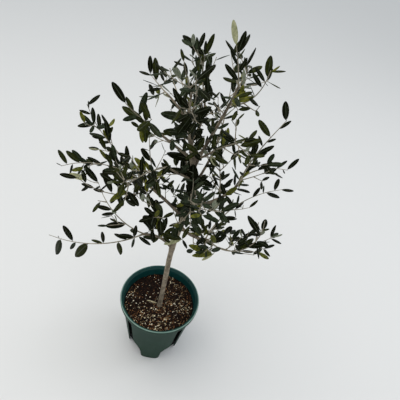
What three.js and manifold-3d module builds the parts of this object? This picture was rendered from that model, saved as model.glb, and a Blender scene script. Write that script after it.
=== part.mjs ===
// Young olive tree in a green nursery pot. Millimetres, +Z up, the pot stands on z = 0.
import * as THREE from "three";
import { mergeVertices } from "three/addons/utils/BufferGeometryUtils.js";
import Module from "manifold-3d";

const wasm = await Module();
wasm.setup();

// Clearance between two solids that touch on the real plant.
const GAP = 0.3;
// Detail finer than this is flattened after a cut or a join.
const FINENESS = 0.03;

// Pot: a thin moulded shell on four feet, with a recessed channel at each corner between them.
const POT = {
  height: 180,
  rimRadius: 90,
  rimDrop: 11,
  rimWall: 2,
  rimInner: 82,
  bodyTop: 168,
  topRadius: 84,
  baseRadius: 59,
  wall: 2,
  floorUnder: 31,
  floorTop: 34,
  frontAngle: -86,
  basePower: 2.4,
  segments: 40,
};
const CHANNEL = {
  depth: 8,
  halfWidth: 7,
  top: 158,
  archHalfWidth: 25,
  archStart: 42,
  archEnd: 72,
  toeHalfWidth: 30,
  toeHeight: 7,
  cutLength: 45,
};
const SLIT = { width: 4, bottom: 38, height: 70 };
const SOIL_LEVEL = 153;

// Trunk: the middle line passes through these stations, from the soil to the leader's foot.
const TRUNK_STATIONS = [
  [2, -6, SOIL_LEVEL + GAP],
  [3.5, -4.5, 250],
  [5, -3, 350],
  [14, 0, 430],
  [24, 6, 488],
  [17, 9, 542],
  [1, 8, 610],
  [-8, 7, 645],
  [-10, 3, 692],
];
const TRUNK = { steps: 26, sides: 9, rootRadius: 6.4, tipRadius: 1.5, flare: 3.2, flareHeight: 10 };

// Each limb leaves its parent at a share of the parent's length, heading by azimuth (0 is +X, 90 is
// +Y) and rise above level. Along its length the azimuth turns by sway and the rise by bend.
const BOUGH_SIDES = 5;
const BOUGH_STEPS = 7;
const BOUGHS = [
  limb("low_left", "trunk", 0.26, -158, 61, 104, 35, -31, 3.2, 1.9),
  limb("left", "trunk", 0.4, 167, 36, 96, -27, -44, 3.6, 2.4),
  limb("upper_left", "trunk", 0.68, -162, 39, 111, 24, 6, 2.6, 1.6),
  limb("mid_left", "trunk", 0.83, 128, 28, 64, 25, -8, 2, 1.5),
  limb("mid_spire", "trunk", 0.75, 41, 51, 71, 80, 8, 2.2, 1.6),
  limb("right_top", "trunk", 0.65, 47, 70, 162, -78, 9, 3.2, 1.9),
  limb("right", "trunk", 0.47, -21, 35, 121, -4, 34, 3.4, 2.1),
  limb("lower_right", "trunk", 0.36, -52, 15, 92, 9, 29, 3.2, 2.1),
  limb("front", "trunk", 0.5, -100, 30, 80, 10, 20, 2.4, 1.6),
  limb("front_left", "trunk", 0.6, -140, 35, 85, 20, 10, 2.2, 1.5),
  limb("front_right", "trunk", 0.68, -60, 40, 75, 15, 15, 2, 1.5),
  limb("back_left", "trunk", 0.54, 128, 25, 110, -20, 30, 2.6, 1.6),
  limb("back_right", "trunk", 0.58, 62, 32, 105, 20, 20, 2.6, 1.6),
  limb("back", "trunk", 0.72, 100, 20, 80, -5, 25, 2.2, 1.5),
];

// Each mass of foliage: its stem's course, then leaf length, spacing of the leaf pairs along a
// shoot, length of its side shoots and the share of leaf places that bear one instead.
const MASSES = [
  mass("low_left", "low_left", 1, -156, -27, 167, -27, 36, 29, 25, 40, 0.06),
  mass("low_left_up", "low_left", 0.92, 181, 10, 128, -38, 49, 30, 23, 45, 0.17),
  mass("left_inner", "low_left", 0.43, -128, 72, 145, 39, -2, 37, 22, 55, 0.43),
  mass("left_main", "left", 1, 147, 17, 192, 63, 58, 33, 18, 55, 0.41),
  mass("left_far", "left", 0.93, 180, 36, 183, 65, -21, 34, 24, 45, 0.17),
  mass("left_low", "left", 0.84, -121, 14, 206, -3, 42, 32, 23, 45, 0.23),
  mass("left_rise", "left", 0.71, 170, 69, 141, 28, 19, 29, 23, 40, 0.17),
  mass("upper_left", "upper_left", 1, -124, 44, 70, 13, 4, 40, 21, 45, 0.36),
  mass("mid_left", "mid_left", 1, 131, 0, 61, -1, 6, 36, 17, 45, 0.43),
  mass("left_spire", "trunk", 1, -133, 63, 59, 18, 1, 33, 17, 40, 0.43),
  mass("mid_spire", "mid_spire", 1, 156, 65, 65, 4, 27, 38, 17, 45, 0.43),
  mass("right_top_up", "right_top", 1, -155, 78, 63, 13, -12, 38, 19, 40, 0.17),
  mass("right_top_out", "right_top", 0.94, 74, 30, 46, -4, 8, 32, 16, 40, 0.36),
  mass("right_top_side", "right_top", 0.79, -32, 26, 101, -26, 59, 31, 20, 40, 0.36),
  mass("right_upper", "right", 1, 23, 83, 147, -89, -20, 27, 17, 45, 0.32),
  mass("right_side", "right", 0.92, 77, 6, 126, -68, -11, 22, 18, 30, 0.07),
  mass("right_inner", "right", 0.59, 117, 66, 98, 41, 7, 28, 19, 40, 0.36),
  mass("lower_right", "lower_right", 1, -46, 5, 155, 48, 97, 29, 17, 45, 0.38),
  mass("right_mid", "lower_right", 0.9, 69, 39, 163, -66, -15, 23, 18, 35, 0.12),
  mass("lower_right_front", "lower_right", 0.8, -70, 40, 84, 8, 10, 29, 17, 36, 0.38),
  mass("fork_front", "trunk", 0.39, -118, 22, 46, 15, 10, 34, 11, 30, 0),
  mass("front", "front", 1, -78, 45, 108, 9, -23, 32, 20, 45, 0.41),
  mass("front_left", "front_left", 1, -123, 20, 112, 16, -19, 32, 20, 40, 0.36),
  mass("front_right", "front_right", 1, -44, 48, 84, -14, -6, 30, 19, 40, 0.3),
  mass("back_left", "back_left", 1, 108, 50, 95, 10, -15, 33, 19, 45, 0.41),
  mass("back_right", "back_right", 1, 88, 45, 95, 5, -15, 33, 19, 45, 0.41),
  mass("back", "back", 1, 98, 40, 70, 5, 10, 33, 19, 45, 0.36),
  mass("front_top", "trunk", 0.9, -77, 35, 112, -8, 28, 38, 17, 35, 0.14),
  mass("inner_back", "trunk", 0.49, 120, 52, 115, -27, 26, 34, 19, 45, 0.36),
  mass("low_back", "trunk", 0.33, 74, 19, 100, 52, -25, 34, 19, 45, 0.36),
  mass("low_back_right", "trunk", 0.45, 47, 15, 78, -11, 8, 33, 19, 40, 0.29),
  mass("back_top", "trunk", 0.89, 131, 19, 105, -5, 26, 33, 18, 40, 0.29),
  mass("low_right", "trunk", 0.34, 11, 7, 100, -1, -9, 33, 18, 35, 0.29),
];

// The growth rule, shared by all masses. Angles are in degrees, and each spread is a full range.
const RULE = {
  stemSteps: 7,
  stemRadius: 1.9,
  shootSteps: 2,
  shootRadius: 1.35,
  tipRadius: 1,
  twigSides: 3,
  firstPair: 0.9,
  shootFirstPair: 0.7,
  shootSpacing: 0.85,
  spacingSpread: 0.3,
  pairTurn: 90,
  pairTurnSpread: 30,
  leafTurnSpread: 24,
  bareShare: 0.15,
  lastShoot: 0.88,
  shootAngle: 48,
  shootUpturn: 14,
  shootSway: 20,
  shootLengthDrop: 0.5,
  fullLengthAt: 0.2,
  shootLengthSpread: 0.6,
  clearOfLimb: 1,
};
// A leaf is largest near its shoot's foot. Its face turns towards the shoot's tip and the sky.
const LEAF = {
  angle: 50,
  angleSpread: 24,
  sizeDrop: 0.3,
  fullSizeAt: 0.25,
  sizeSpread: 0.4,
  width: 0.32,
  thickness: 1.1,
  sunk: 0.4,
  widest: 0.45,
  faceAlong: 0.6,
  faceUp: 0.8,
  faceSpread: 0.7,
  tipAt: 0.985,
  crowding: 5,
  clearOfLimb: 0.8,
  tested: [0.2, 0.35, 0.5, 0.65, 0.8, 1],
};
// Space kept free between two masses, on top of the clearance.
const MASS_MARGIN = 0.2;
const SEED = { first: 17, step: 101, shoot: 7, range: 1e6 };

const COLOURS = { pot: 0x2f4d45, soil: 0x3a2a20, bark: 0x8b8074, foliage: 0x37432f };

function limb(name, on, at, azimuth, rise, length, sway, bend, root, tip) {
  return { name, on, at, azimuth, rise, length, sway, bend, root, tip };
}

function mass(name, on, at, azimuth, rise, length, sway, bend, leaf, spacing, shoot, shootShare) {
  return { name, on, at, azimuth, rise, length, sway, bend, leaf, spacing, shoot, shootShare };
}

function radians(degrees) {
  return (degrees * Math.PI) / 180;
}

/** A repeatable stream of numbers from 0 to 1. */
function randomStream(seed) {
  let state = Math.imul(seed + 1, 2654435761) >>> 0;
  return () => {
    state = (Math.imul(state, 1664525) + 1013904223) >>> 0;
    return state / 4294967296;
  };
}

/** A number from the stream, spread evenly about zero over a full range. */
function spread(range, draw) {
  return range * (draw() - 0.5);
}

/** The unit vector that heads by azimuth and rise, in degrees. */
function heading(azimuth, rise) {
  const a = radians(azimuth);
  const e = radians(rise);
  return new THREE.Vector3(Math.cos(e) * Math.cos(a), Math.cos(e) * Math.sin(a), Math.sin(e));
}

/** The middle line of a limb: equal steps whose azimuth and rise turn evenly along it. */
function limbPath(start, { azimuth, rise, length, sway, bend }, steps) {
  const path = [start.clone()];
  for (let i = 0; i < steps; i += 1) {
    const share = (i + 0.5) / steps;
    const step = heading(azimuth + sway * share, rise + bend * share).multiplyScalar(length / steps);
    path.push(path[i].clone().add(step));
  }
  return path;
}

/** A smooth path through the stations, by the Catmull-Rom formula. */
function smoothPath(stations, steps) {
  const points = stations.map((station) => new THREE.Vector3(...station));
  const last = points.length - 1;
  const before = points[0].clone().multiplyScalar(2).sub(points[1]);
  const after = points[last].clone().multiplyScalar(2).sub(points[last - 1]);
  const knots = [before, ...points, after];
  const path = [];
  for (let k = 0; k <= steps; k += 1) {
    const along = (k / steps) * last;
    const i = Math.min(Math.floor(along), last - 1);
    const t = along - i;
    const point = new THREE.Vector3();
    for (const axis of ["x", "y", "z"]) {
      const [p0, p1, p2, p3] = knots.slice(i, i + 4).map((knot) => knot[axis]);
      point[axis] =
        0.5 *
        (2 * p1 + (p2 - p0) * t + (2 * p0 - 5 * p1 + 4 * p2 - p3) * t * t + (3 * p1 - p0 - 3 * p2 + p3) * t * t * t);
    }
    path.push(point);
  }
  return path;
}

/** The point at a share of the path's steps, and the direction there. */
function pointAt(path, share) {
  const along = share * (path.length - 1);
  const i = Math.min(Math.floor(along), path.length - 2);
  const direction = path[i + 1].clone().sub(path[i]).normalize();
  const point = path[i].clone().lerp(path[i + 1], along - i);
  return { point, direction };
}

/** Two unit vectors square to a direction: the first is level. */
function squareTo(direction) {
  const level = new THREE.Vector3(direction.y, -direction.x, 0);
  if (level.length() < 0.05) {
    level.set(1, 0, 0);
  }
  level.normalize();
  const upper = level.clone().cross(direction).normalize();
  return { level, upper };
}

/** The direction that leans by an angle from another, on the side that the roll gives. */
function leaning(along, roll, angle) {
  const { level, upper } = squareTo(along);
  const out = level.multiplyScalar(Math.cos(radians(roll))).addScaledVector(upper, Math.sin(radians(roll)));
  const lean = radians(angle);
  return along.clone().multiplyScalar(Math.cos(lean)).addScaledVector(out, Math.sin(lean)).normalize();
}

/** A solid from points and triangles. */
function solidOf(points, faces) {
  const geometry = new THREE.BufferGeometry();
  geometry.setAttribute("position", new THREE.Float32BufferAttribute(points.flatMap((p) => [p.x, p.y, p.z]), 3));
  geometry.setIndex(faces.flat());
  return solidFrom(geometry);
}

/** A solid from any closed three.js geometry. */
function solidFrom(geometry) {
  const bare = geometry.clone();
  bare.deleteAttribute("normal");
  bare.deleteAttribute("uv");
  const merged = mergeVertices(bare);
  const vertProperties = new Float32Array(merged.attributes.position.array);
  const triVerts = new Uint32Array(merged.index.array);
  return new wasm.Manifold(new wasm.Mesh({ numProp: 3, vertProperties, triVerts }));
}

/** A closed body through rings of points, each ring counterclockwise seen from the end. */
function loft(rings) {
  const sides = rings[0].length;
  const faces = [];
  for (let i = 0; i + 1 < rings.length; i += 1) {
    for (let j = 0; j < sides; j += 1) {
      const a = i * sides + j;
      const b = i * sides + ((j + 1) % sides);
      faces.push([a, b, b + sides], [a, b + sides, a + sides]);
    }
  }
  const end = (rings.length - 1) * sides;
  for (let j = 1; j + 1 < sides; j += 1) {
    faces.push([0, j + 1, j], [end, end + j, end + j + 1]);
  }
  return solidOf(rings.flat(), faces);
}

/** A round tapering body along a path. radiusAt takes the share of the length. */
function taperedTube(path, radiusAt, sides) {
  let across = squareTo(pointAt(path, 0).direction).upper;
  const rings = path.map((point, i) => {
    const before = path[Math.max(i - 1, 0)];
    const after = path[Math.min(i + 1, path.length - 1)];
    const direction = after.clone().sub(before).normalize();
    across = across.clone().addScaledVector(direction, -across.dot(direction)).normalize();
    const beside = direction.clone().cross(across);
    const radius = radiusAt(i / (path.length - 1));
    const ring = [];
    for (let j = 0; j < sides; j += 1) {
      const turn = (2 * Math.PI * j) / sides;
      const out = across.clone().multiplyScalar(Math.cos(turn)).addScaledVector(beside, Math.sin(turn));
      ring.push(point.clone().addScaledVector(out, radius));
    }
    return ring;
  });
  return loft(rings);
}

/** The pot body's outer radius at an angle and height: round at the top, a little squarer below. */
function sectionRadius(angle, z) {
  const turn = radians(angle - POT.frontAngle);
  const sum = Math.abs(Math.cos(turn)) ** POT.basePower + Math.abs(Math.sin(turn)) ** POT.basePower;
  const base = POT.baseRadius / sum ** (1 / POT.basePower);
  return base + ((POT.topRadius - base) * z) / POT.bodyTop;
}

/** The pot body's full form from one height to another, drawn in by an inset. */
function bodySolid(from, to, inset) {
  const rings = [from, to].map((z) =>
    Array.from({ length: POT.segments }, (_, j) => {
      const angle = (360 * j) / POT.segments;
      return heading(angle, 0).multiplyScalar(sectionRadius(angle, z) - inset).setZ(z);
    }),
  );
  return loft(rings);
}

/** Half the width of the space between two feet at a height: an arch that narrows to a channel. */
function channelHalfWidth(z) {
  if (z < CHANNEL.toeHeight) {
    const rounding = Math.sqrt(Math.max(0, 1 - ((z - CHANNEL.toeHeight) / CHANNEL.toeHeight) ** 2));
    return CHANNEL.toeHalfWidth - (CHANNEL.toeHalfWidth - CHANNEL.archHalfWidth) * rounding;
  }
  const share = Math.min(1, Math.max(0, (z - CHANNEL.archStart) / (CHANNEL.archEnd - CHANNEL.archStart)));
  const shoulder = (1 + Math.cos(Math.PI * share)) / 2;
  return CHANNEL.halfWidth + (CHANNEL.archHalfWidth - CHANNEL.halfWidth) * shoulder;
}

/** Places a geometry drawn as width, height and depth on the pot's corner, leaning as the wall does. */
function placeAtCorner(geometry, angle, depth) {
  const low = sectionRadius(angle, 0) - depth;
  const high = sectionRadius(angle, POT.bodyTop) - depth;
  const outward = heading(angle, 0);
  const along = heading(angle + 90, 0);
  const upward = outward.clone().multiplyScalar(high - low).setZ(POT.bodyTop).normalize();
  const place = new THREE.Matrix4().makeBasis(along, upward, along.clone().cross(upward));
  place.setPosition(outward.multiplyScalar(low));
  return geometry.applyMatrix4(place);
}

/** The space of one corner's channel and arch, grown on all sides by a margin. */
function channelSolid(angle, grow) {
  const heights = [0, 2, 4, CHANNEL.toeHeight, CHANNEL.archStart];
  for (let i = 1; i <= 6; i += 1) {
    heights.push(CHANNEL.archStart + ((CHANNEL.archEnd - CHANNEL.archStart) * i) / 6);
  }
  const side = heights.map((z) => new THREE.Vector2(channelHalfWidth(z) + grow, z));
  side[0].y = -grow - 1;
  side.push(new THREE.Vector2(CHANNEL.halfWidth + grow, CHANNEL.top - CHANNEL.halfWidth));
  side.push(new THREE.Vector2((CHANNEL.halfWidth + grow) * 0.7, CHANNEL.top - 2 + grow));
  side.push(new THREE.Vector2((CHANNEL.halfWidth + grow) * 0.25, CHANNEL.top + grow));
  const mirrored = side.map((p) => new THREE.Vector2(-p.x, p.y)).reverse();
  const shape = new THREE.Shape([...side, ...mirrored]);
  const geometry = new THREE.ExtrudeGeometry(shape, { depth: CHANNEL.cutLength, bevelEnabled: false });
  return solidFrom(placeAtCorner(geometry, angle, CHANNEL.depth + grow));
}

/** The drainage slit in the back wall of one channel. */
function slitSolid(angle) {
  const reach = 3 * POT.wall;
  const geometry = new THREE.BoxGeometry(SLIT.width, SLIT.height, reach);
  geometry.translate(0, SLIT.bottom + SLIT.height / 2, 0);
  return solidFrom(placeAtCorner(geometry, angle, CHANNEL.depth + POT.wall / 2));
}

/** The rolled rim: a flat lip with rounded edges and a short skirt outside. */
function rimSolid() {
  const top = POT.height;
  const under = top - POT.rimWall * 1.8;
  const skirt = POT.rimRadius - POT.rimWall;
  const outline = [
    [POT.rimInner, POT.bodyTop - 3],
    [POT.topRadius + 0.4, POT.bodyTop - 3],
    [POT.topRadius + 0.4, under],
    [skirt, under],
    [skirt, top - POT.rimDrop],
    [POT.rimRadius, top - POT.rimDrop],
    [POT.rimRadius, top - 2],
    [POT.rimRadius - 1.6, top],
    [POT.rimInner + 1.2, top],
    [POT.rimInner, top - 1.4],
    [POT.rimInner, POT.bodyTop - 3],
  ];
  const profile = outline.map(([radius, z]) => new THREE.Vector2(radius, z));
  const geometry = new THREE.LatheGeometry(profile, POT.segments);
  return solidFrom(geometry.rotateX(Math.PI / 2));
}

const CORNERS = [45, 135, 225, 315].map((turn) => POT.frontAngle + turn);

function potSolid() {
  const body = bodySolid(0, POT.bodyTop, 0);
  const under = bodySolid(-1, POT.floorUnder, POT.wall);
  const cavity = bodySolid(POT.floorTop, POT.bodyTop + 1, POT.wall);
  const channels = wasm.Manifold.union(CORNERS.map((angle) => channelSolid(angle, 0)));
  const backs = wasm.Manifold.union(CORNERS.map((angle) => channelSolid(angle, POT.wall)));
  const slits = wasm.Manifold.union(CORNERS.map(slitSolid));
  const shell = body.subtract(channels).subtract(under).subtract(cavity.subtract(backs));
  return largest(shell.add(rimSolid()).subtract(slits));
}

/** The root ball: it fills the pot to the soil's level. */
function soilSolid() {
  const filled = bodySolid(POT.floorTop + GAP, SOIL_LEVEL, POT.wall + GAP);
  const backs = wasm.Manifold.union(CORNERS.map((angle) => channelSolid(angle, POT.wall + GAP)));
  return largest(filled.subtract(backs));
}

/** The trunk's radius: a slow taper, with a flare where it enters the soil. */
function trunkRadius(share) {
  const taper = TRUNK.tipRadius + (TRUNK.rootRadius - TRUNK.tipRadius) * (1 - share * share);
  const height = pointAt(trunkPath, share).point.z - SOIL_LEVEL;
  return taper + TRUNK.flare * Math.exp(-height / TRUNK.flareHeight);
}

function taperOf({ root, tip }) {
  return (share) => root + (tip - root) * share;
}

/** Only the largest piece of a solid that a cut has parted, without needless triangles. */
function largest(solid) {
  const pieces = solid.decompose();
  pieces.sort((a, b) => b.volume() - a.volume());
  return pieces[0].asOriginal().simplify(FINENESS);
}

/** The shortest distance from a point to a path, and the share of its length where it lies. */
function distanceTo(path, point) {
  let best = { distance: Infinity, share: 0 };
  for (let i = 0; i + 1 < path.length; i += 1) {
    const run = path[i + 1].clone().sub(path[i]);
    const along = point.clone().sub(path[i]).dot(run) / run.lengthSq();
    const t = Math.min(1, Math.max(0, along));
    const distance = path[i].clone().addScaledVector(run, t).distanceTo(point);
    if (distance < best.distance) {
      best = { distance, share: (i + t) / (path.length - 1) };
    }
  }
  return best;
}

/** True where a round thing of this half width at a point touches no limb. */
function clearOfLimbs(point, halfWidth, margin) {
  return limbs.every((each) => {
    const near = distanceTo(each.path, point);
    return near.distance > each.radiusAt(near.share) + halfWidth + margin;
  });
}

/** True where a thing of this half width stays nearer to its own stem than to any other. */
function insideOwnSpace(point, halfWidth, own) {
  const mine = distanceTo(stems[own], point).distance;
  return stems.every(
    (stem, i) => i === own || (distanceTo(stem, point).distance - mine) / 2 > halfWidth + GAP + MASS_MARGIN,
  );
}

/** A leaf's blade: a long diamond with a flat underside and a ridge, its root inside the twig. */
function leafSolid({ root, direction, facing, length, width }) {
  const rise = facing.clone().multiplyScalar(LEAF.thickness);
  const beside = direction.clone().cross(facing).multiplyScalar(width / 2);
  const middle = root.clone().addScaledVector(direction, length * LEAF.widest);
  const points = [
    root.clone().addScaledVector(direction, -LEAF.sunk),
    middle.clone().add(beside),
    middle.clone().add(rise),
    middle.clone().sub(beside),
    root.clone().addScaledVector(direction, length),
  ];
  const faces = [1, 2, 3].flatMap((side) => {
    const next = (side % 3) + 1;
    return [
      [0, side, next],
      [4, next, side],
    ];
  });
  return solidOf(points, faces);
}

/** A leaf's blade at a place on a shoot: it leans out from it and turns its face up. */
function leafAt(point, along, roll, length, draw) {
  const direction = leaning(along, roll, LEAF.angle + spread(LEAF.angleSpread, draw));
  const facing = along.clone().multiplyScalar(LEAF.faceAlong);
  facing.z += LEAF.faceUp;
  facing.x += spread(LEAF.faceSpread, draw);
  facing.y += spread(LEAF.faceSpread, draw);
  facing.addScaledVector(direction, -facing.dot(direction)).normalize();
  return { root: point, direction, facing, length, width: length * LEAF.width };
}

/** True where a leaf stays in its mass's space, clear of limbs and of the leaves before it. */
function leafFits(leaf, own, leaves) {
  for (const share of LEAF.tested) {
    const point = leaf.root.clone().addScaledVector(leaf.direction, leaf.length * share);
    const taper = share < LEAF.widest ? share / LEAF.widest : (1 - share) / (1 - LEAF.widest);
    const halfWidth = Math.max(LEAF.thickness / 2, (leaf.width / 2) * taper);
    if (!insideOwnSpace(point, halfWidth, own) || !clearOfLimbs(point, halfWidth, LEAF.clearOfLimb)) {
      return false;
    }
  }
  const centre = leaf.root.clone().addScaledVector(leaf.direction, leaf.length / 2);
  return leaves.every((other) => {
    const otherCentre = other.root.clone().addScaledVector(other.direction, other.length / 2);
    return otherCentre.distanceTo(centre) > LEAF.crowding;
  });
}

/** Leaves in opposite pairs along a shoot, with side shoots in place of some of them. */
function growShoot(path, length, row, own, isStem, seed, grown) {
  const draw = randomStream(seed);
  const spacing = row.spacing * (isStem ? 1 : RULE.shootSpacing);
  let roll = 360 * draw();
  let along = spacing * (isStem ? RULE.firstPair : RULE.shootFirstPair);
  while (along < length) {
    const share = Math.min(1, along / length);
    const { point, direction } = pointAt(path, share);
    roll += RULE.pairTurn + spread(RULE.pairTurnSpread, draw);
    for (const turn of [0, 180]) {
      const side = roll + turn + spread(RULE.leafTurnSpread, draw);
      const bears = draw() < row.shootShare;
      const kept = draw() > RULE.bareShare;
      const size = row.leaf * (1 - LEAF.sizeDrop * (share - LEAF.fullSizeAt)) * (1 + spread(LEAF.sizeSpread, draw));
      const childSeed = Math.floor(draw() * SEED.range);
      const mayBranch = isStem && bears && share < RULE.lastShoot;
      const branched = mayBranch && growSide(point, direction, side, row, own, share, childSeed, grown);
      if (!branched && kept) {
        const leaf = leafAt(point, direction, side, size, randomStream(childSeed));
        if (leafFits(leaf, own, grown.leaves)) {
          grown.leaves.push(leaf);
        }
      }
    }
    along += spacing * (1 + spread(RULE.spacingSpread, draw));
  }
  growTip(path, row, own, roll, draw, grown);
}

/** The pair of leaves that ends a shoot. */
function growTip(path, row, own, roll, draw, grown) {
  const { point, direction } = pointAt(path, LEAF.tipAt);
  for (const turn of [0, 180]) {
    const size = row.leaf * (1 - LEAF.sizeDrop * draw());
    const leaf = leafAt(point, direction, roll + RULE.pairTurn + turn, size, draw);
    if (leafFits(leaf, own, grown.leaves)) {
      grown.leaves.push(leaf);
    }
  }
}

/** One side shoot, kept only where all of it fits. Says whether it was kept. */
function growSide(point, along, roll, row, own, share, seed, grown) {
  const draw = randomStream(seed);
  const start = leaning(along, roll, RULE.shootAngle);
  const fullLength = row.shoot * (1 - RULE.shootLengthDrop * (share - RULE.fullLengthAt));
  const course = {
    azimuth: (Math.atan2(start.y, start.x) * 180) / Math.PI,
    rise: (Math.asin(start.z) * 180) / Math.PI,
    length: fullLength * (1 + spread(RULE.shootLengthSpread, draw)),
    sway: spread(RULE.shootSway, draw),
    bend: RULE.shootUpturn,
  };
  const path = limbPath(point, course, RULE.shootSteps);
  const fits = path
    .slice(1)
    .every((p) => insideOwnSpace(p, RULE.shootRadius, own) && clearOfLimbs(p, RULE.shootRadius, RULE.clearOfLimb));
  if (fits) {
    grown.shoots.push({ path, root: RULE.shootRadius, tip: RULE.tipRadius });
    growShoot(path, course.length, row, own, false, seed + SEED.shoot, grown);
  }
  return fits;
}

/** One mass of foliage: its stem, side shoots and leaves in one solid, cut clear of the limbs. */
function massSolid(row, own) {
  const stem = stems[own];
  const grown = { leaves: [], shoots: [{ path: stem, root: RULE.stemRadius, tip: RULE.tipRadius }] };
  growShoot(stem, row.length, row, own, true, own * SEED.step + SEED.first, grown);
  const twigs = grown.shoots.map((shoot) => taperedTube(shoot.path, taperOf(shoot), RULE.twigSides));
  const joined = wasm.Manifold.union([...twigs, ...grown.leaves.map(leafSolid)]);
  return largest(joined.subtract(limbSpace));
}

/** A limb fattened and lengthened by the gap, to cut what starts on it. */
function grownLimb({ path, radiusAt, sides }) {
  const longer = path.slice();
  const { point, direction } = pointAt(path, 1);
  longer[longer.length - 1] = point.clone().addScaledVector(direction, GAP);
  return taperedTube(longer, (share) => radiusAt(share) + GAP, sides);
}

/** A named mesh of a solid. */
function meshOf(name, solid, colour, roughness) {
  const { vertProperties, triVerts } = solid.getMesh();
  const geometry = new THREE.BufferGeometry();
  geometry.setAttribute("position", new THREE.Float32BufferAttribute(vertProperties, 3));
  geometry.setIndex(Array.from(triVerts));
  geometry.computeVertexNormals();
  const material = new THREE.MeshStandardMaterial({ color: colour, roughness, metalness: 0 });
  const mesh = new THREE.Mesh(geometry, material);
  mesh.name = name;
  return mesh;
}

const trunkPath = smoothPath(TRUNK_STATIONS, TRUNK.steps);
const limbs = [{ name: "trunk", path: trunkPath, radiusAt: trunkRadius, sides: TRUNK.sides }];
for (const row of BOUGHS) {
  const parent = limbs.find((each) => each.name === row.on);
  const path = limbPath(pointAt(parent.path, row.at).point, row, BOUGH_STEPS);
  limbs.push({ name: row.name, on: row.on, path, radiusAt: taperOf(row), sides: BOUGH_SIDES });
}
const stems = MASSES.map((row) => {
  const parent = limbs.find((each) => each.name === row.on);
  return limbPath(pointAt(parent.path, row.at).point, row, RULE.stemSteps);
});

const limbSpace = wasm.Manifold.union(limbs.map(grownLimb));

const plant = new THREE.Group();
plant.add(meshOf("pot", potSolid(), COLOURS.pot, 0.45));
plant.add(meshOf("soil", soilSolid(), COLOURS.soil, 0.95));
for (const each of limbs) {
  let solid = taperedTube(each.path, each.radiusAt, each.sides);
  if (each.on) {
    solid = largest(solid.subtract(grownLimb(limbs.find((other) => other.name === each.on))));
  }
  plant.add(meshOf(each.on ? `bough_${each.name}` : each.name, solid, COLOURS.bark, 0.85));
}
MASSES.forEach((row, own) => {
  plant.add(meshOf(`foliage_${row.name}`, massSolid(row, own), COLOURS.foliage, 0.5));
});

// The origin is the middle of the plant's footprint box, at the level the pot stands on.
const extent = new THREE.Box3().setFromObject(plant);
const middle = extent.getCenter(new THREE.Vector3());
plant.position.set(-middle.x, -middle.y, -extent.min.z);
plant.updateMatrixWorld(true);

export default plant;
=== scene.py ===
"""Looks of a young olive tree in a slitted nursery pot.

Sizes are millimetres in the pot's own frame (the pot's axis is x = y = 0, the ground z = 0) until a
mesh is built, which turns them to metres in the model's frame.
"""

import logging
import math
from collections.abc import Callable, Sequence
from dataclasses import dataclass, field
from enum import Enum, IntEnum
from itertools import combinations

import bpy
import numpy as np
from mathutils import Matrix, Vector, noise


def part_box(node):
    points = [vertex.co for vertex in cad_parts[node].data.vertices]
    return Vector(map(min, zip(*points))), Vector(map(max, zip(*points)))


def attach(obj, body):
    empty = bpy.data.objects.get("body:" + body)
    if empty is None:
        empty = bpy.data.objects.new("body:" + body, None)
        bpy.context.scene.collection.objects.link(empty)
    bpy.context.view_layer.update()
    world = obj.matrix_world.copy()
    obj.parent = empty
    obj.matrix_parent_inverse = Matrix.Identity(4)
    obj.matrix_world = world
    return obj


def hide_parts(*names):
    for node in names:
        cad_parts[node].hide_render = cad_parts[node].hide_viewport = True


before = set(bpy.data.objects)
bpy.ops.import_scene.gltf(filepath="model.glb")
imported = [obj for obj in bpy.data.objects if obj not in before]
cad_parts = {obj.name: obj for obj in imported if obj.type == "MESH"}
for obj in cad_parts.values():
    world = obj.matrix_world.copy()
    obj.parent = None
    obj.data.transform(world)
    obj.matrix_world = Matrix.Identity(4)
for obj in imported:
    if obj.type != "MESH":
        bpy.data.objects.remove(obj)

LOG = logging.getLogger("olive")
MM = 0.001
BODY = "root"
POT_LOW, POT_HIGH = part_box("pot")
POT_AXIS = np.array([(POT_LOW.x + POT_HIGH.x) / 2, (POT_LOW.y + POT_HIGH.y) / 2, 0.0])
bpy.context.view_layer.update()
TINY = 1e-6
# The sockets of a Mix node that mixes colours: its share, its two colours and its result.
MIX_SHARE, MIX_FIRST, MIX_SECOND, MIX_RESULT = 0, 6, 7, 2

Vec = np.ndarray


# Materials


def linear(colour: str) -> tuple[float, float, float, float]:
    """Turns an sRGB hex colour to linear light.

    Args:
        colour: Six hex digits, such as "3a4f49".

    Returns:
        Linear red, green, blue and full alpha.
    """
    channels = []
    for start in (0, 2, 4):
        value = int(colour[start : start + 2], 16) / 255
        channels.append(value / 12.92 if value <= 0.04045 else ((value + 0.055) / 1.055) ** 2.4)
    return (channels[0], channels[1], channels[2], 1.0)


def start_material(name: str, ior: float, gloss: float) -> tuple[bpy.types.Material, bpy.types.Node]:
    """Starts a node material.

    Args:
        name: Its name.
        ior: Its refractive index.
        gloss: Its specular level.

    Returns:
        The material and its shader.
    """
    material = bpy.data.materials.new(name)
    material.use_nodes = True
    shader = material.node_tree.nodes["Principled BSDF"]
    shader.inputs["IOR"].default_value = ior
    shader.inputs["Specular IOR Level"].default_value = gloss
    return material, shader


def add_node(
    tree: bpy.types.NodeTree, kind: str, inputs: dict[str | int, object] | None = None, **settings: object
) -> bpy.types.Node:
    """Adds one node with its settings and links.

    Args:
        tree: The material's node tree.
        kind: Blender's name for the node type, less its first word, ShaderNode.
        inputs: Socket name or number to a value, or to the output socket that feeds it.
        settings: Attributes to set on the node.

    Returns:
        The new node.
    """
    node = tree.nodes.new("ShaderNode" + kind)
    for key, value in settings.items():
        setattr(node, key, value)
    for key, value in (inputs or {}).items():
        if isinstance(value, bpy.types.NodeSocket):
            tree.links.new(value, node.inputs[key])
        else:
            node.inputs[key].default_value = value
    return node


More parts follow.
